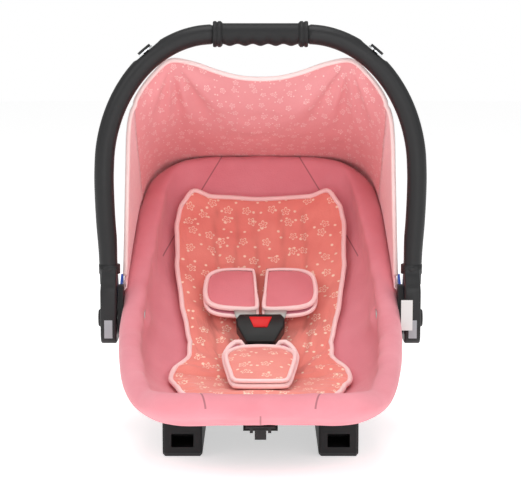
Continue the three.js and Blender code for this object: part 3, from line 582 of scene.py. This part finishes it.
# how far it reaches over the bucket, as (turn from the head end in radians, share of the way to the rim)
insertStops = [(0, 0.875), (0.2, 0.885), (0.28, 0.905), (0.36, 0.88), (0.43, 0.85), (0.53, 0.77), (0.6, 0.64),
               (0.66, 0.53), (0.73, 0.465), (0.85, 0.43), (1.2, 0.46), (1.5, 0.45), (1.8, 0.42), (2.48, 0.51),
               (math.pi, 0.52)]


def insertReach(u):
    p = rimAt(u)
    turn = math.atan2(abs(p.x), p.y - bottom.y)
    for (t0, r0), (t1, r1) in zip(insertStops, insertStops[1:]):
        if turn <= t1:
            t = (turn - t0) / (t1 - t0)
            return r0 + (r1 - r0) * t * t * (3 - 2 * t)
    return insertStops[-1][1]


def quiltShare(p):  # 1 on a sewn channel, 0 between them
    down = min(abs(p.x - x - 2.5 * math.sin(p.y * 0.05 + x)) for x in insert["seamsX"])
    across = abs(p.y - insert["waist"])
    lines = math.exp(-(down / 4.5) ** 2) if 10 < p.y < 232 else 0
    return max(lines, math.exp(-(across / 5) ** 2), 0.6 * math.exp(-((p.y + 62 - abs(p.x) * 0.15) / 6) ** 2))


def insertCurl(u, share):  # the head corners and the sides stand up off the cover
    p = rimAt(u)
    turn = math.atan2(abs(p.x), p.y - bottom.y)
    head = insert["headCurl"] * math.exp(-((turn - 0.3) / 0.09) ** 2)
    return share ** 5 * (head + insert["sideCurl"] * math.exp(-((turn - 0.5) / 0.14) ** 2))


def insertTop(u, share):
    reach = insertReach(u)
    full = insert["thickness"] * (1 - 0.4 * share ** 7) + insertCurl(u, share)
    p = bed(u, reach * share, insert["under"] + full)
    ripple = 1.3 * noise.noise(p * 0.03) + 0.9 * math.sin(p.y * 0.3 + 4 * noise.noise(p * 0.02)) * share ** 4
    return p + bucketNormal(u, reach * share) * (ripple - insert["quilt"] * quiltShare(p))


insertTurns = [i / insert["around"] for i in range(insert["around"])]


def insertLoop(function):
    return [function(u) * mm for u in insertTurns]


def flatPlace(p):  # place on the cloth laid flat, in metres
    return (p.x, math.copysign(math.hypot(p.y + 0.08, p.z - 0.05), p.y + 0.08))


def setPrint(piece, place):
    layer = piece.data.uv_layers.new(name="clothPlace")
    for loop in piece.data.loops:
        layer.data[loop.index].uv = place(piece.data.vertices[loop.vertex_index].co)


def makeInsert():
    under, thick, down = insert["under"], insert["thickness"], insert["down"]
    rings = [insertLoop(lambda u: insertTop(u, (k / down) ** 0.9)) for k in range(1, down)]
    for inset, height, curl in ((0.988, thick * 0.66, 1), (1, thick * 0.4, 1), (0.985, 1, 0.97)):  # its edge
        rings.append(insertLoop(lambda u: bed(u, insertReach(u) * inset,
                                              under + height + insertCurl(u, curl))))
    for share in (0.8, 0.5, 0.2):
        rings.append(insertLoop(lambda u: bed(u, insertReach(u) * share, under)))
    piece = finishPiece("insertPad", ringSkin(rings), "insertPrint", "seat", levels=1,
                        replaces=["insert_cushion"], slot="print_fabric")
    setPrint(piece, flatPlace)
    # painted shade in the sewn quilting channels
    markSeamShade(piece, lambda p: 0.35 * quiltShare(p) ** 3)
    tops = {tuple(v.co) for v in piece.data.vertices[:insert["around"] * (down - 2)]}
    puff(piece, lambda co: max(0.75 * quiltShare(co / mm), 0.05) if tuple(co) in tops else 1.0)
    return piece


insertPad = makeInsert()
edge = [bed(u, insertReach(u), insert["under"] + insert["thickness"] * 0.55 + insertCurl(u, 1)
            + 1.5 * noise.noise(rimAt(u) * 0.05)) * mm for u in insertTurns]
tube("insertPiping", edge, insert["piping"] * mm, "pipingTape", "seat", closed=True, slot="print_fabric")
print("insert made")

belly = {"start": (41.5, 144.4), "down": Vector((0, -0.884, -0.467)).normalized()}
buckleDown = Vector((0, -0.72, -0.69)).normalized()
crotchDown = Vector((0, -0.9954, -0.0953)).normalized()
across = Vector((1, 0, 0))


def harnessPlace(origin, down):
    into = across.cross(down)
    start = Vector((0, origin[0], origin[1]))
    return lambda a, b, c: (start + across * a + down * b + into * c) * mm


def onBelly(distance):
    return (belly["start"][0] - belly["down"].y * distance, belly["start"][1] - belly["down"].z * distance)


def softPad(name, corners, thickness, place, material, body, mirror=1, crown=3.0, **more):
    line = smoothLine([(a * mirror, b, 0) for a, b in corners], 72, closed=True)
    middle = sum(line, Vector()) / len(line)
    rings = []
    section = [(0.15, -1.0), (0.5, -0.98), (0.8, -0.85), (0.95, -0.5), (1.0, 0)]
    for share, height in section + [(share, -height) for share, height in reversed(section[:-1])]:
        ring = []
        for p in line:
            q = middle.lerp(p, share)
            ring.append(place(q.x, q.y, -height * (thickness / 2 + crown * (1 - share * share))))
        rings.append(ring)
    return finishPiece(name, ringSkin(rings), material, body, levels=1, **more), line


chestPads = {"thickness": 11, "piping": 3.2, "lowerPiping": 2.8, "upTheBelly": 107, "backThickness": 4.5,
             "backDepth": 4.2, "backLonger": 8,
             "corners": [(9.5, 6), (14, 1), (40, 0), (58, 3), (71, 14), (75, 32), (75.5, 58), (70, 77), (56, 87),
                         (30, 91), (10, 91), (4.8, 85), (6.6, 50)]}


def makeChestPads():
    place = harnessPlace(onBelly(chestPads["upTheBelly"]), belly["down"])
    corners, more, deep = chestPads["corners"], chestPads["backLonger"], chestPads["backDepth"]
    longer = lambda b: b + (more if b > 60 else more * max(0, b - 30) / 30)

    def pipingRadius(t):  # widest along the lower outer edge
        swell = math.sin(math.pi * min(1, max(0, (t - 0.18) / 0.66))) ** 0.5
        return (2.0 + chestPads["piping"] * 0.5 * swell) * mm

    for side, word in ((1, "right"), (-1, "left")):
        body = f"harness_end_{word}"
        pad, line = softPad(f"chestPad_{word}", corners, chestPads["thickness"], place, "padKnit", body, side,
                            replaces=[f"chest_pad_{word}"], slot="mauve_fabric")
        front = [place(p.x, p.y, -3.4) for p in line]
        tube(f"chestPiping_{word}", front, pipingRadius, "pipingTape", body, closed=True, slot="mauve_fabric")
        under, edge = softPad(f"chestPadBack_{word}", [(a, longer(b)) for a, b in corners],
                              chestPads["backThickness"], lambda a, b, c: place(a, b, c + deep), "padLining",
                              body, side, slot="mauve_fabric", crown=0.5)
        back = [place(p.x, p.y, 3.2) for p in edge]
        tube(f"chestBackPiping_{word}", back, chestPads["lowerPiping"] * mm, "pipingTape", body, closed=True,
             slot="mauve_fabric")


makeChestPads()
crotchShape = {"half": [(20, 0), (37, 5), (47, 24), (46, 60), (40, 116), (34, 163), (25, 175)],
               "frontHalf": [(12, 8), (28, 14), (40, 30), (44.5, 48), (43, 80), (38, 124), (33, 166), (23, 176)],
               "backThickness": 5.5, "frontThickness": 6, "frontHeight": 4.4, "pipingBack": 3.4,
               "pipingFront": 2.8, "loopRise": 13, "endRise": 4}


def makeCrotchPad():
    place = harnessPlace((0, 109.1), crotchDown)
    bothSides = lambda half: half + [(-a, b) for a, b in reversed(half)]
    high = crotchShape["frontHeight"]

    def lowEnd(b):  # the lower end lifts over the foot of the seat
        return crotchShape["endRise"] * max(0, (b - 140) / 36)

    def rise(a, b):  # and the upper corners stand up beside the buckle
        corner = max(0, (26 - b) / 26) ** 1.4 * min(1, max(0, (abs(a) - 19) / 9))
        return crotchShape["loopRise"] * corner + lowEnd(b)

    back, line = softPad("crotchPadBack", bothSides(crotchShape["half"]), crotchShape["backThickness"],
                         lambda a, b, c: place(a, b, c + 2.6 - rise(a, b)), "padLining", "seat",
                         replaces=["crotch_pad"], slot="print_fabric", crown=1.0)
    tube("crotchPipingBack", [place(p.x, p.y, 0.5 - rise(p.x, p.y)) for p in line],
         crotchShape["pipingBack"] * mm, "pipingTape", "seat", closed=True, slot="print_fabric")
    front, line = softPad("crotchPadFront", bothSides(crotchShape["frontHalf"]), crotchShape["frontThickness"],
                          lambda a, b, c: place(a, b, c - high - lowEnd(b)), "insertPrint", "seat",
                          slot="print_fabric", crown=4.0)
    setPrint(front, lambda p: (p.x + 0.2, p.y * 0.75))
    tube("crotchPipingFront", [place(p.x, p.y, -high - 2 - lowEnd(p.y)) for p in line],
         crotchShape["pipingFront"] * mm, "pipingTape", "seat", closed=True, slot="print_fabric")


makeCrotchPad()
straps = {"width": 36, "thickness": 1.6, "x": 26, "ribs": 5,
          "shoulder": [(142, 131), (160, 145), (172, 156), (173, 161), (146, 193.5), (140.5, 196.7),
                       (57.4, 152.8)],
          "crotch": [(14, 118), (6, 110.5), (0, 109.1), (-97, 99.8), (-108, 96.5), (-114, 90), (-115, 84),
                     (-115, 40), (-115, 33)]}


def webbing(name, path, x, body, node):
    # flat woven strap with thinned edges and faint lengthways ribs
    line = []
    for (y0, z0), (y1, z1) in zip(path, path[1:]):
        steps = max(1, round(math.hypot(y1 - y0, z1 - z0) / 4))
        line += [Vector((0, y0 + (y1 - y0) * k / steps, z0 + (z1 - z0) * k / steps)) for k in range(steps)]
    line.append(Vector((0, *path[-1])))
    rings = []
    for i, p in enumerate(line):
        along = (line[min(i + 1, len(line) - 1)] - line[max(i - 1, 0)]).normalized()
        out = Vector((1, 0, 0)).cross(along)
        ring = []
        for face in (1, -1):
            for k in range(25):
                a = (k / 24 * 2 - 1) * face
                rib = abs(math.cos(a * math.pi * straps["ribs"] / 2))
                thick = straps["thickness"] / 2 * (0.82 + 0.18 * rib)
                if abs(a) == 1:
                    thick *= 0.55
                ring.append((p + Vector((x + a * straps["width"] / 2, 0, 0)) + out * thick * face) * mm)
        rings.append(ring)
    return finishPiece(name, ringSkin(rings), "webbingWeave", body, replaces=[node], slot="webbing")


for side, word in ((1, "right"), (-1, "left")):
    x = side * straps["x"]
    strap = webbing(f"shoulderWeb_{word}", straps["shoulder"], x, None, f"shoulder_strap_{word}")
    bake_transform(strap)
webbing("crotchWeb", straps["crotch"], 0, "seat", "crotch_strap")
print("harness pads made")

handle = {"tube": 13, "core": 10.6, "top": 375, "halfWidth": 206, "corner": 60, "cornerStart": 196, "grip": 62,
          "stud": 0.97, "studFlat": 10.5, "hubInner": 190, "hubOuter": 211, "innerFlatTo": 116}
pivot = Vector(bucket["pivot"])


def archLine(count):
    wide, start, top = handle["halfWidth"] - handle["corner"], handle["cornerStart"], handle["top"]
    right = [(200, 46), (201.5, 88), (204.5, 130), (206, 168), (206, start)]
    right += [(handle["corner"] + wide * math.cos(t), start + (top - start) * math.sin(t))
              for t in (k / 9 * math.pi / 2 for k in range(1, 10))]
    points = [pivot + Vector((x, 0, z)) for x, z in right]
    points += [pivot + Vector((x, 0, top)) for x in (30, 0, -30)]
    points += [pivot + Vector((-x, 0, z)) for x, z in reversed(right)]
    return smoothLine(points, count)


studTurn = handle["stud"]
studWide, studHigh = handle["halfWidth"] - handle["corner"], handle["top"] - handle["cornerStart"]
studMiddle = pivot + Vector((handle["corner"] + studWide * math.cos(studTurn), 0,
                             handle["cornerStart"] + studHigh * math.sin(studTurn)))
studOut = Vector((math.cos(studTurn) / studWide, 0, math.sin(studTurn) / studHigh)).normalized()


def makeHandle():
    line = archLine(180)
    rings = tubeRings([p * mm for p in line], lambda s: handle["tube"] * mm, 32, up=Vector((0, 1, 0)))
    for p, ring in zip(line, rings):
        for q in ring:
            if p.z < pivot.z + handle["innerFlatTo"] and abs(q.x) < handle["hubInner"] * mm:
                q.x = math.copysign(handle["hubInner"] * mm, q.x)
            if abs(p.x) < handle["grip"] + 1.5:  # thinner inside the grip
                q.xyz = p * mm + (q - p * mm) * (handle["core"] / handle["tube"])
            flip = Vector((math.copysign(1, p.x), 1, 1))
            out = Vector((studOut.x * flip.x, 0, studOut.z))
            middle = Vector((studMiddle.x * flip.x, studMiddle.y, studMiddle.z))
            if (p - middle).length < 19:  # a flat for the stud
                high = (q / mm - middle).dot(out) - handle["studFlat"]
                if high > 0:
                    q.xyz = q - out * high * mm
    finishPiece("handleArch", ringSkin(rings), "handlePlastic", "handle", replaces=["handle_arch"],
                slot="handle_plastic")


makeHandle()
hubShape = {"front": -27, "back": 27, "bottom": -32, "shoulder": 38, "neck": 68, "corner": 14, "bevel": 2.6,
            "collar": 14.2, "collarX": 200.2}


def hubOutline():
    f, b, low, c = hubShape["front"], hubShape["back"], hubShape["bottom"], hubShape["corner"]
    points = [(f, hubShape["shoulder"]), (f, low + c)]
    points += [(f + c - c * math.cos(t), low + c - c * math.sin(t)) for t in (0.4, 0.8, 1.2)]
    points += [(f + c, low), (b - c, low)]
    points += [(b - c + c * math.sin(t), low + c - c * math.cos(t)) for t in (0.4, 0.8, 1.2)]
    points += [(b, low + c), (b, hubShape["shoulder"])]
    for k in range(1, 8):
        t = k / 8
        points.append((b + (handle["tube"] - b) * (t * t * (3 - 2 * t)), hubShape["shoulder"] + 30 * t))
    points += [(handle["tube"], hubShape["neck"]), (-handle["tube"], hubShape["neck"])]
    for k in range(7, 0, -1):
        t = k / 8
        points.append((f - (handle["tube"] + f) * (t * t * (3 - 2 * t)), hubShape["shoulder"] + 30 * t))
    return points


def makeHubs():
    inner, outer = handle["hubInner"], handle["hubOuter"]
    for side, word in ((1, "right"), (-1, "left")):
        def place(a, b, c):
            waist = 1.6 * math.exp(-((b - 14) / 9) ** 2) if c > 15 else 0  # slight hollow on the outer face
            lean = max(0, (b - 38) / 30) * 1.5
            return Vector((side * (inner + c - waist - lean * (c > 15)), pivot.y + a, pivot.z + b)) * mm
        bm = plate(hubOutline(), place, outer - inner, hubShape["bevel"], 3)
        hub = finishPiece(f"hub_{word}", bm, "handlePlastic", "handle", slot="handle_plastic")
        keepEdges(hub)
        line = [Vector((side * hubShape["collarX"], pivot.y, pivot.z + z)) * mm for z in (60, 66, 72)]
        tube(f"hubCollar_{word}", line, hubShape["collar"] * mm, "handlePlastic", "handle", segments=32,
             slot="handle_plastic")


makeHubs()


gripShape = {"half": 62, "end": 61, "endRadius": 16.0, "collarFrom": 52, "collarRadius": 17.0, "groove": 1.1,
             "grooveAt": 56.5, "neck": 49, "neckRadius": 14.3, "body": 14.2, "fingers": 1.3, "fingerPitch": 20,
             "bore": 11}


def makeGrip():
    around = [2 * math.pi * k / 40 for k in range(40)]
    spokes = [Vector((0, math.cos(turn), math.sin(turn))) for turn in around]
    rings = []
    for x in range(-gripShape["half"], gripShape["half"] + 1):
        p, away = Vector((x, pivot.y, pivot.z + handle["top"])), abs(x)
        ring = []
        for turn, out in zip(around, spokes):
            below = max(0, -math.sin(turn))  # finger waves on the lower side only
            if away > gripShape["end"]:
                r = gripShape["endRadius"]
            elif away >= gripShape["collarFrom"]:
                cut = abs(away - gripShape["grooveAt"]) < 0.8
                r = gripShape["collarRadius"] - (gripShape["groove"] if cut else 0)
            elif away > gripShape["neck"]:
                r = gripShape["neckRadius"] + (away - gripShape["neck"]) * 0.9
            else:
                r = gripShape["body"] + gripShape["fingers"] * below * math.cos(
                    p.x / gripShape["fingerPitch"] * math.pi * 2)
            ring.append((p + out * r) * mm)
        rings.append(ring)
    for x in (gripShape["half"], -gripShape["half"]):  # the bore round the handle's thinner core
        p = Vector((x, pivot.y, pivot.z + handle["top"]))
        rings.append([(p + out * gripShape["bore"]) * mm for out in spokes])
    grip = finishPiece("handGrip", ringSkin(rings, joined=True), "gripRubber", "handle",
                       replaces=["handle_grip"], slot="grip_rubber")
    keepEdges(grip, 0.9)


makeGrip()
print("handle made")

hood = {"sag": 18, "thickness": 1.6, "flat": (0.95, 0.36), "piping": 3.2, "fold": 5.0, "slack": 2.4,
        "seamAt": 0.225, "seamLean": 0.07, "seamDepth": 1.6, "across": 240, "down": 60, "rimStart": 0.267,
        "overRim": 0.8, "frontY": 31,
        "arch": [(181, 204), (179.5, 250), (178, 300), (176.5, 350), (175, 392), (171, 420), (160, 447),
                 (141, 472), (119, 490), (88, 486), (56, 475), (28, 468), (0, 466)]}


def hoodArch(share):
    half = hood["arch"]
    points = [Vector((x, hood["frontY"], z)) for x, z in half]
    points += [Vector((-x, hood["frontY"], z)) for x, z in reversed(half[:-1])]
    place = share * (len(points) - 1)
    s = min(int(place), len(points) - 2)
    t = place - s
    return curveBetween(*(points[max(0, min(len(points) - 1, s + k))] for k in (-1, 0, 1, 2)), t)


def hoodFolds(share, q):
    # soft folds running in from both top corners, and slack ripples above the head
    fold = 0
    for corner in (0.34, 0.66):
        inward = (share - corner) * (1 if corner < 0.5 else -1) * 6
        turn, away = math.atan2(q, inward + 1e-6), math.hypot(inward, q)
        fold += math.sin(turn * 9) * math.exp(-(away / 0.9) ** 2) * min(1, away * 4)
    slack = noise.noise(Vector((share * 13, q * 6, 0.3))) * math.sin(math.pi * q)
    return hood["fold"] * fold * math.sin(math.pi * min(1, q * 1.5 + 0.08)) + hood["slack"] * slack


def hoodSeam(share, along):  # the corner seams between the roof and the side panels
    place = hood["seamAt"] - hood["seamLean"] * along
    return math.exp(-(min(abs(share - place), abs(share - 1 + place)) / 0.005) ** 2)


def hoodPoint(share, along):
    u = hood["rimStart"] + (1 - 2 * hood["rimStart"]) * share
    over = besideRim(u, 5, 19.5)
    if along <= hood["overRim"]:  # from the front edge to the rim, then tucked behind it
        q = along / hood["overRim"]
        p = hoodArch(share).lerp(over, q)
        drop = hood["sag"] * math.sin(math.pi * share) ** 2 * math.sin(math.pi * q) ** 0.8 * (1 - 0.3 * q)
        p = p + Vector((0, -0.3, -1)) * drop
        roof = min(1, max(0, (share - 0.25) / 0.08)) * min(1, max(0, (0.75 - share) / 0.08))
        outward = Vector((math.copysign(1 - roof, share - 0.5) * -1, 0, roof)).normalized()
        wobble = hoodFolds(share, q) * (roof + 0.25 * (1 - roof)) - hood["seamDepth"] * hoodSeam(share, along)
        return p + outward * wobble
    stops = [over, besideRim(u, 10.5, 15), besideRim(u, 13, 6), besideRim(u, 13, -18)]
    place = (along - hood["overRim"]) / (1 - hood["overRim"]) * 3
    s = min(int(place), 2)
    return stops[s].lerp(stops[s + 1], place - s)


def makeHood():
    bm = bmesh.new()
    bmesh.ops.create_grid(bm, x_segments=hood["across"], y_segments=hood["down"], size=1)
    layer = bm.loops.layers.uv.new("clothPlace")
    for face in bm.faces:
        for loop in face.loops:
            s, q = (loop.vert.co.x + 1) / 2, (loop.vert.co.y + 1) / 2
            loop[layer].uv = (s * hood["flat"][0], q * hood["flat"][1])
    for v in bm.verts:
        v.co = hoodPoint((v.co.x + 1) / 2, (v.co.y + 1) / 2) * mm
    sheet = finishPiece("hoodCloth", bm, "hoodPrint", "seat", replaces=["canopy"], slot="hood_fabric")
    # marks the side panels for their paler colour: painted light
    paintedLightPanel = sheet.data.attributes.new("paintedLightSidePanel", "FLOAT", "POINT")
    seams = sheet.data.attributes.new("seam", "FLOAT", "POINT")
    for v in sheet.data.vertices:
        row, column = divmod(v.index, hood["across"] + 1)
        share, along = column / hood["across"], row / hood["down"]
        side = min(share, 1 - share) < hood["seamAt"] - hood["seamLean"] * along
        paintedLightPanel.data[v.index].value = 1 if side else 0
        # painted shade along the hood's sunk corner seams
        seams.data[v.index].value = 0.5 * hoodSeam(share, along)
    wall = sheet.modifiers.new("wall", "SOLIDIFY")
    wall.thickness = hood["thickness"] * mm
    wall.offset = 1
    edge = [hoodPoint(k / 199, 0) * mm + Vector((0, -1.5, 0)) * mm for k in range(200)]
    tube("hoodPiping", edge, hood["piping"] * mm, "pipingTape", "seat", slot="hood_fabric")
    return sheet


hoodCloth = makeHood()
print("hood made")

buckleShape = {"thickness": 20, "bevel": 2.4, "buttonOut": 1.6, "buttonDepth": 5, "blade": 2.6,
               "outline": [(-28, 0), (28, 0), (33, 8), (32, 20), (19, 46), (-19, 46), (-32, 20), (-33, 8)],
               "button": [(-15.5, 6), (15.5, 6), (9, 23), (-9, 23)],
               "tongue": [(5.5, -12), (36, -12), (33.5, -1), (32.6, 0), (32.6, 15), (6.4, 15), (6.4, 0),
                          (5.5, -1)]}


def makeBuckle():
    place = harnessPlace(belly["start"], buckleDown)
    half = buckleShape["thickness"] / 2
    bm = plate(buckleShape["outline"], lambda a, b, c: place(a, b, c - half), buckleShape["thickness"],
               buckleShape["bevel"], 3)
    housing = finishPiece("buckleHousing", bm, "bucklePlastic", "seat", replaces=["buckle_housing"],
                          slot="buckle_plastic")
    keepEdges(housing)
    for side, word in ((1, "right"), (-1, "left")):
        points = buckleShape["tongue"]
        outline = points if side > 0 else [(-a, b) for a, b in reversed(points)]
        blade = plate(outline, lambda a, b, c: place(a, b, c - 1.3), buckleShape["blade"], 0.5, 2)
        tongue = finishPiece(f"tongue_{word}", blade, "harnessSteel", f"harness_end_{word}",
                             replaces=[f"buckle_tongue_{word}"], slot="steel")
        keepEdges(tongue)
    bm = plate(buckleShape["button"], lambda a, b, c: place(a, b, c - half - buckleShape["buttonOut"]),
               buckleShape["buttonDepth"], 1.0, 2)
    button = finishPiece("pressButton", bm, "redPlastic", "buckle_button", replaces=["buckle_button"],
                         slot="red_plastic")
    keepEdges(button)


makeBuckle()
print("buckle made")

kept = {
    "shell": "shellPlastic", "foam_liner": "foamBeads", "crotch_anchor": "shellPlastic",
    "harness_yoke": "harnessSteel", "care_label": "labelTape", "adjuster_plate": "handlePlastic",
    "adjuster_lever": "handlePlastic",
}
for word in ("right", "left"):
    kept.update({
        f"hub_inlay_{word}": "inlayPlastic", f"release_button_{word}": "handlePlastic",
        f"pivot_pin_{word}": "harnessSteel", f"pivot_bracket_{word}": "shellPlastic",
        f"canopy_stud_{word}": "handlePlastic", f"stud_ring_{word}": "ringChrome",
        f"runner_{word}": "shellPlastic", f"belt_guide_{word}": "bluePlastic",
    })
    for end in ("front", "rear"):
        kept[f"runner_screw_{word}_{end}"] = "harnessSteel"


def paintKept():
    for node, name in kept.items():
        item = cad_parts[node]
        item.data.materials.clear()
        item.data.materials.append(materials[name])


paintKept()


studio = {"floor": "#f6f6f6", "floorGlow": 0.55, "surround": 0.46,
          "lights": [("overhead", (0, -0.3, 3.0), 2.0, 33), ("front", (0.3, -3.1, 1.2), 1.8, 24),
                     ("keyLeft", (-2.2, -1.8, 1.9), 1.6, 18), ("fillRight", (2.2, -1.8, 1.7), 1.6, 14)]}


def makeStudio():
    floor = bpy.data.objects.new("floor", bpy.data.meshes.new("floor"))
    bm = bmesh.new()
    bmesh.ops.create_circle(bm, cap_ends=True, segments=96, radius=9)
    bm.to_mesh(floor.data)
    bm.free()
    bpy.context.scene.collection.objects.link(floor)
    tree, shader = startMaterial("paleFloor", 0.9)
    shader.inputs["Base Color"].default_value = linear(studio["floor"])
    shader.inputs["Emission Color"].default_value = (1, 1, 1, 1)
    shader.inputs["Emission Strength"].default_value = studio["floorGlow"]
    floor.data.materials.append(materials["paleFloor"])
    for name, where, size, power in studio["lights"]:
        light = bpy.data.objects.new(name, bpy.data.lights.new(name, "AREA"))
        light.data.size = size
        light.data.energy = power
        light.location = where
        light.rotation_euler = (Vector((0, 0, 0.25)) - Vector(where)).to_track_quat("-Z", "Y").to_euler()
        bpy.context.scene.collection.objects.link(light)
    world = bpy.data.worlds.new("studio")
    bpy.context.scene.world = world
    world.use_nodes = True
    tree = world.node_tree
    background = tree.nodes["Background"]
    background.inputs[0].default_value = (1, 1, 1, 1)
    seen = addNode(tree, "LightPath")
    strength = addNode(tree, "MapRange", {"To Min": studio["surround"], "To Max": 1.0},
                       {"Value": seen.outputs["Is Camera Ray"]})
    tree.links.new(strength.outputs[0], background.inputs[1])
    bpy.context.scene.view_settings.view_transform = "Standard"


makeStudio()
print("studio made")
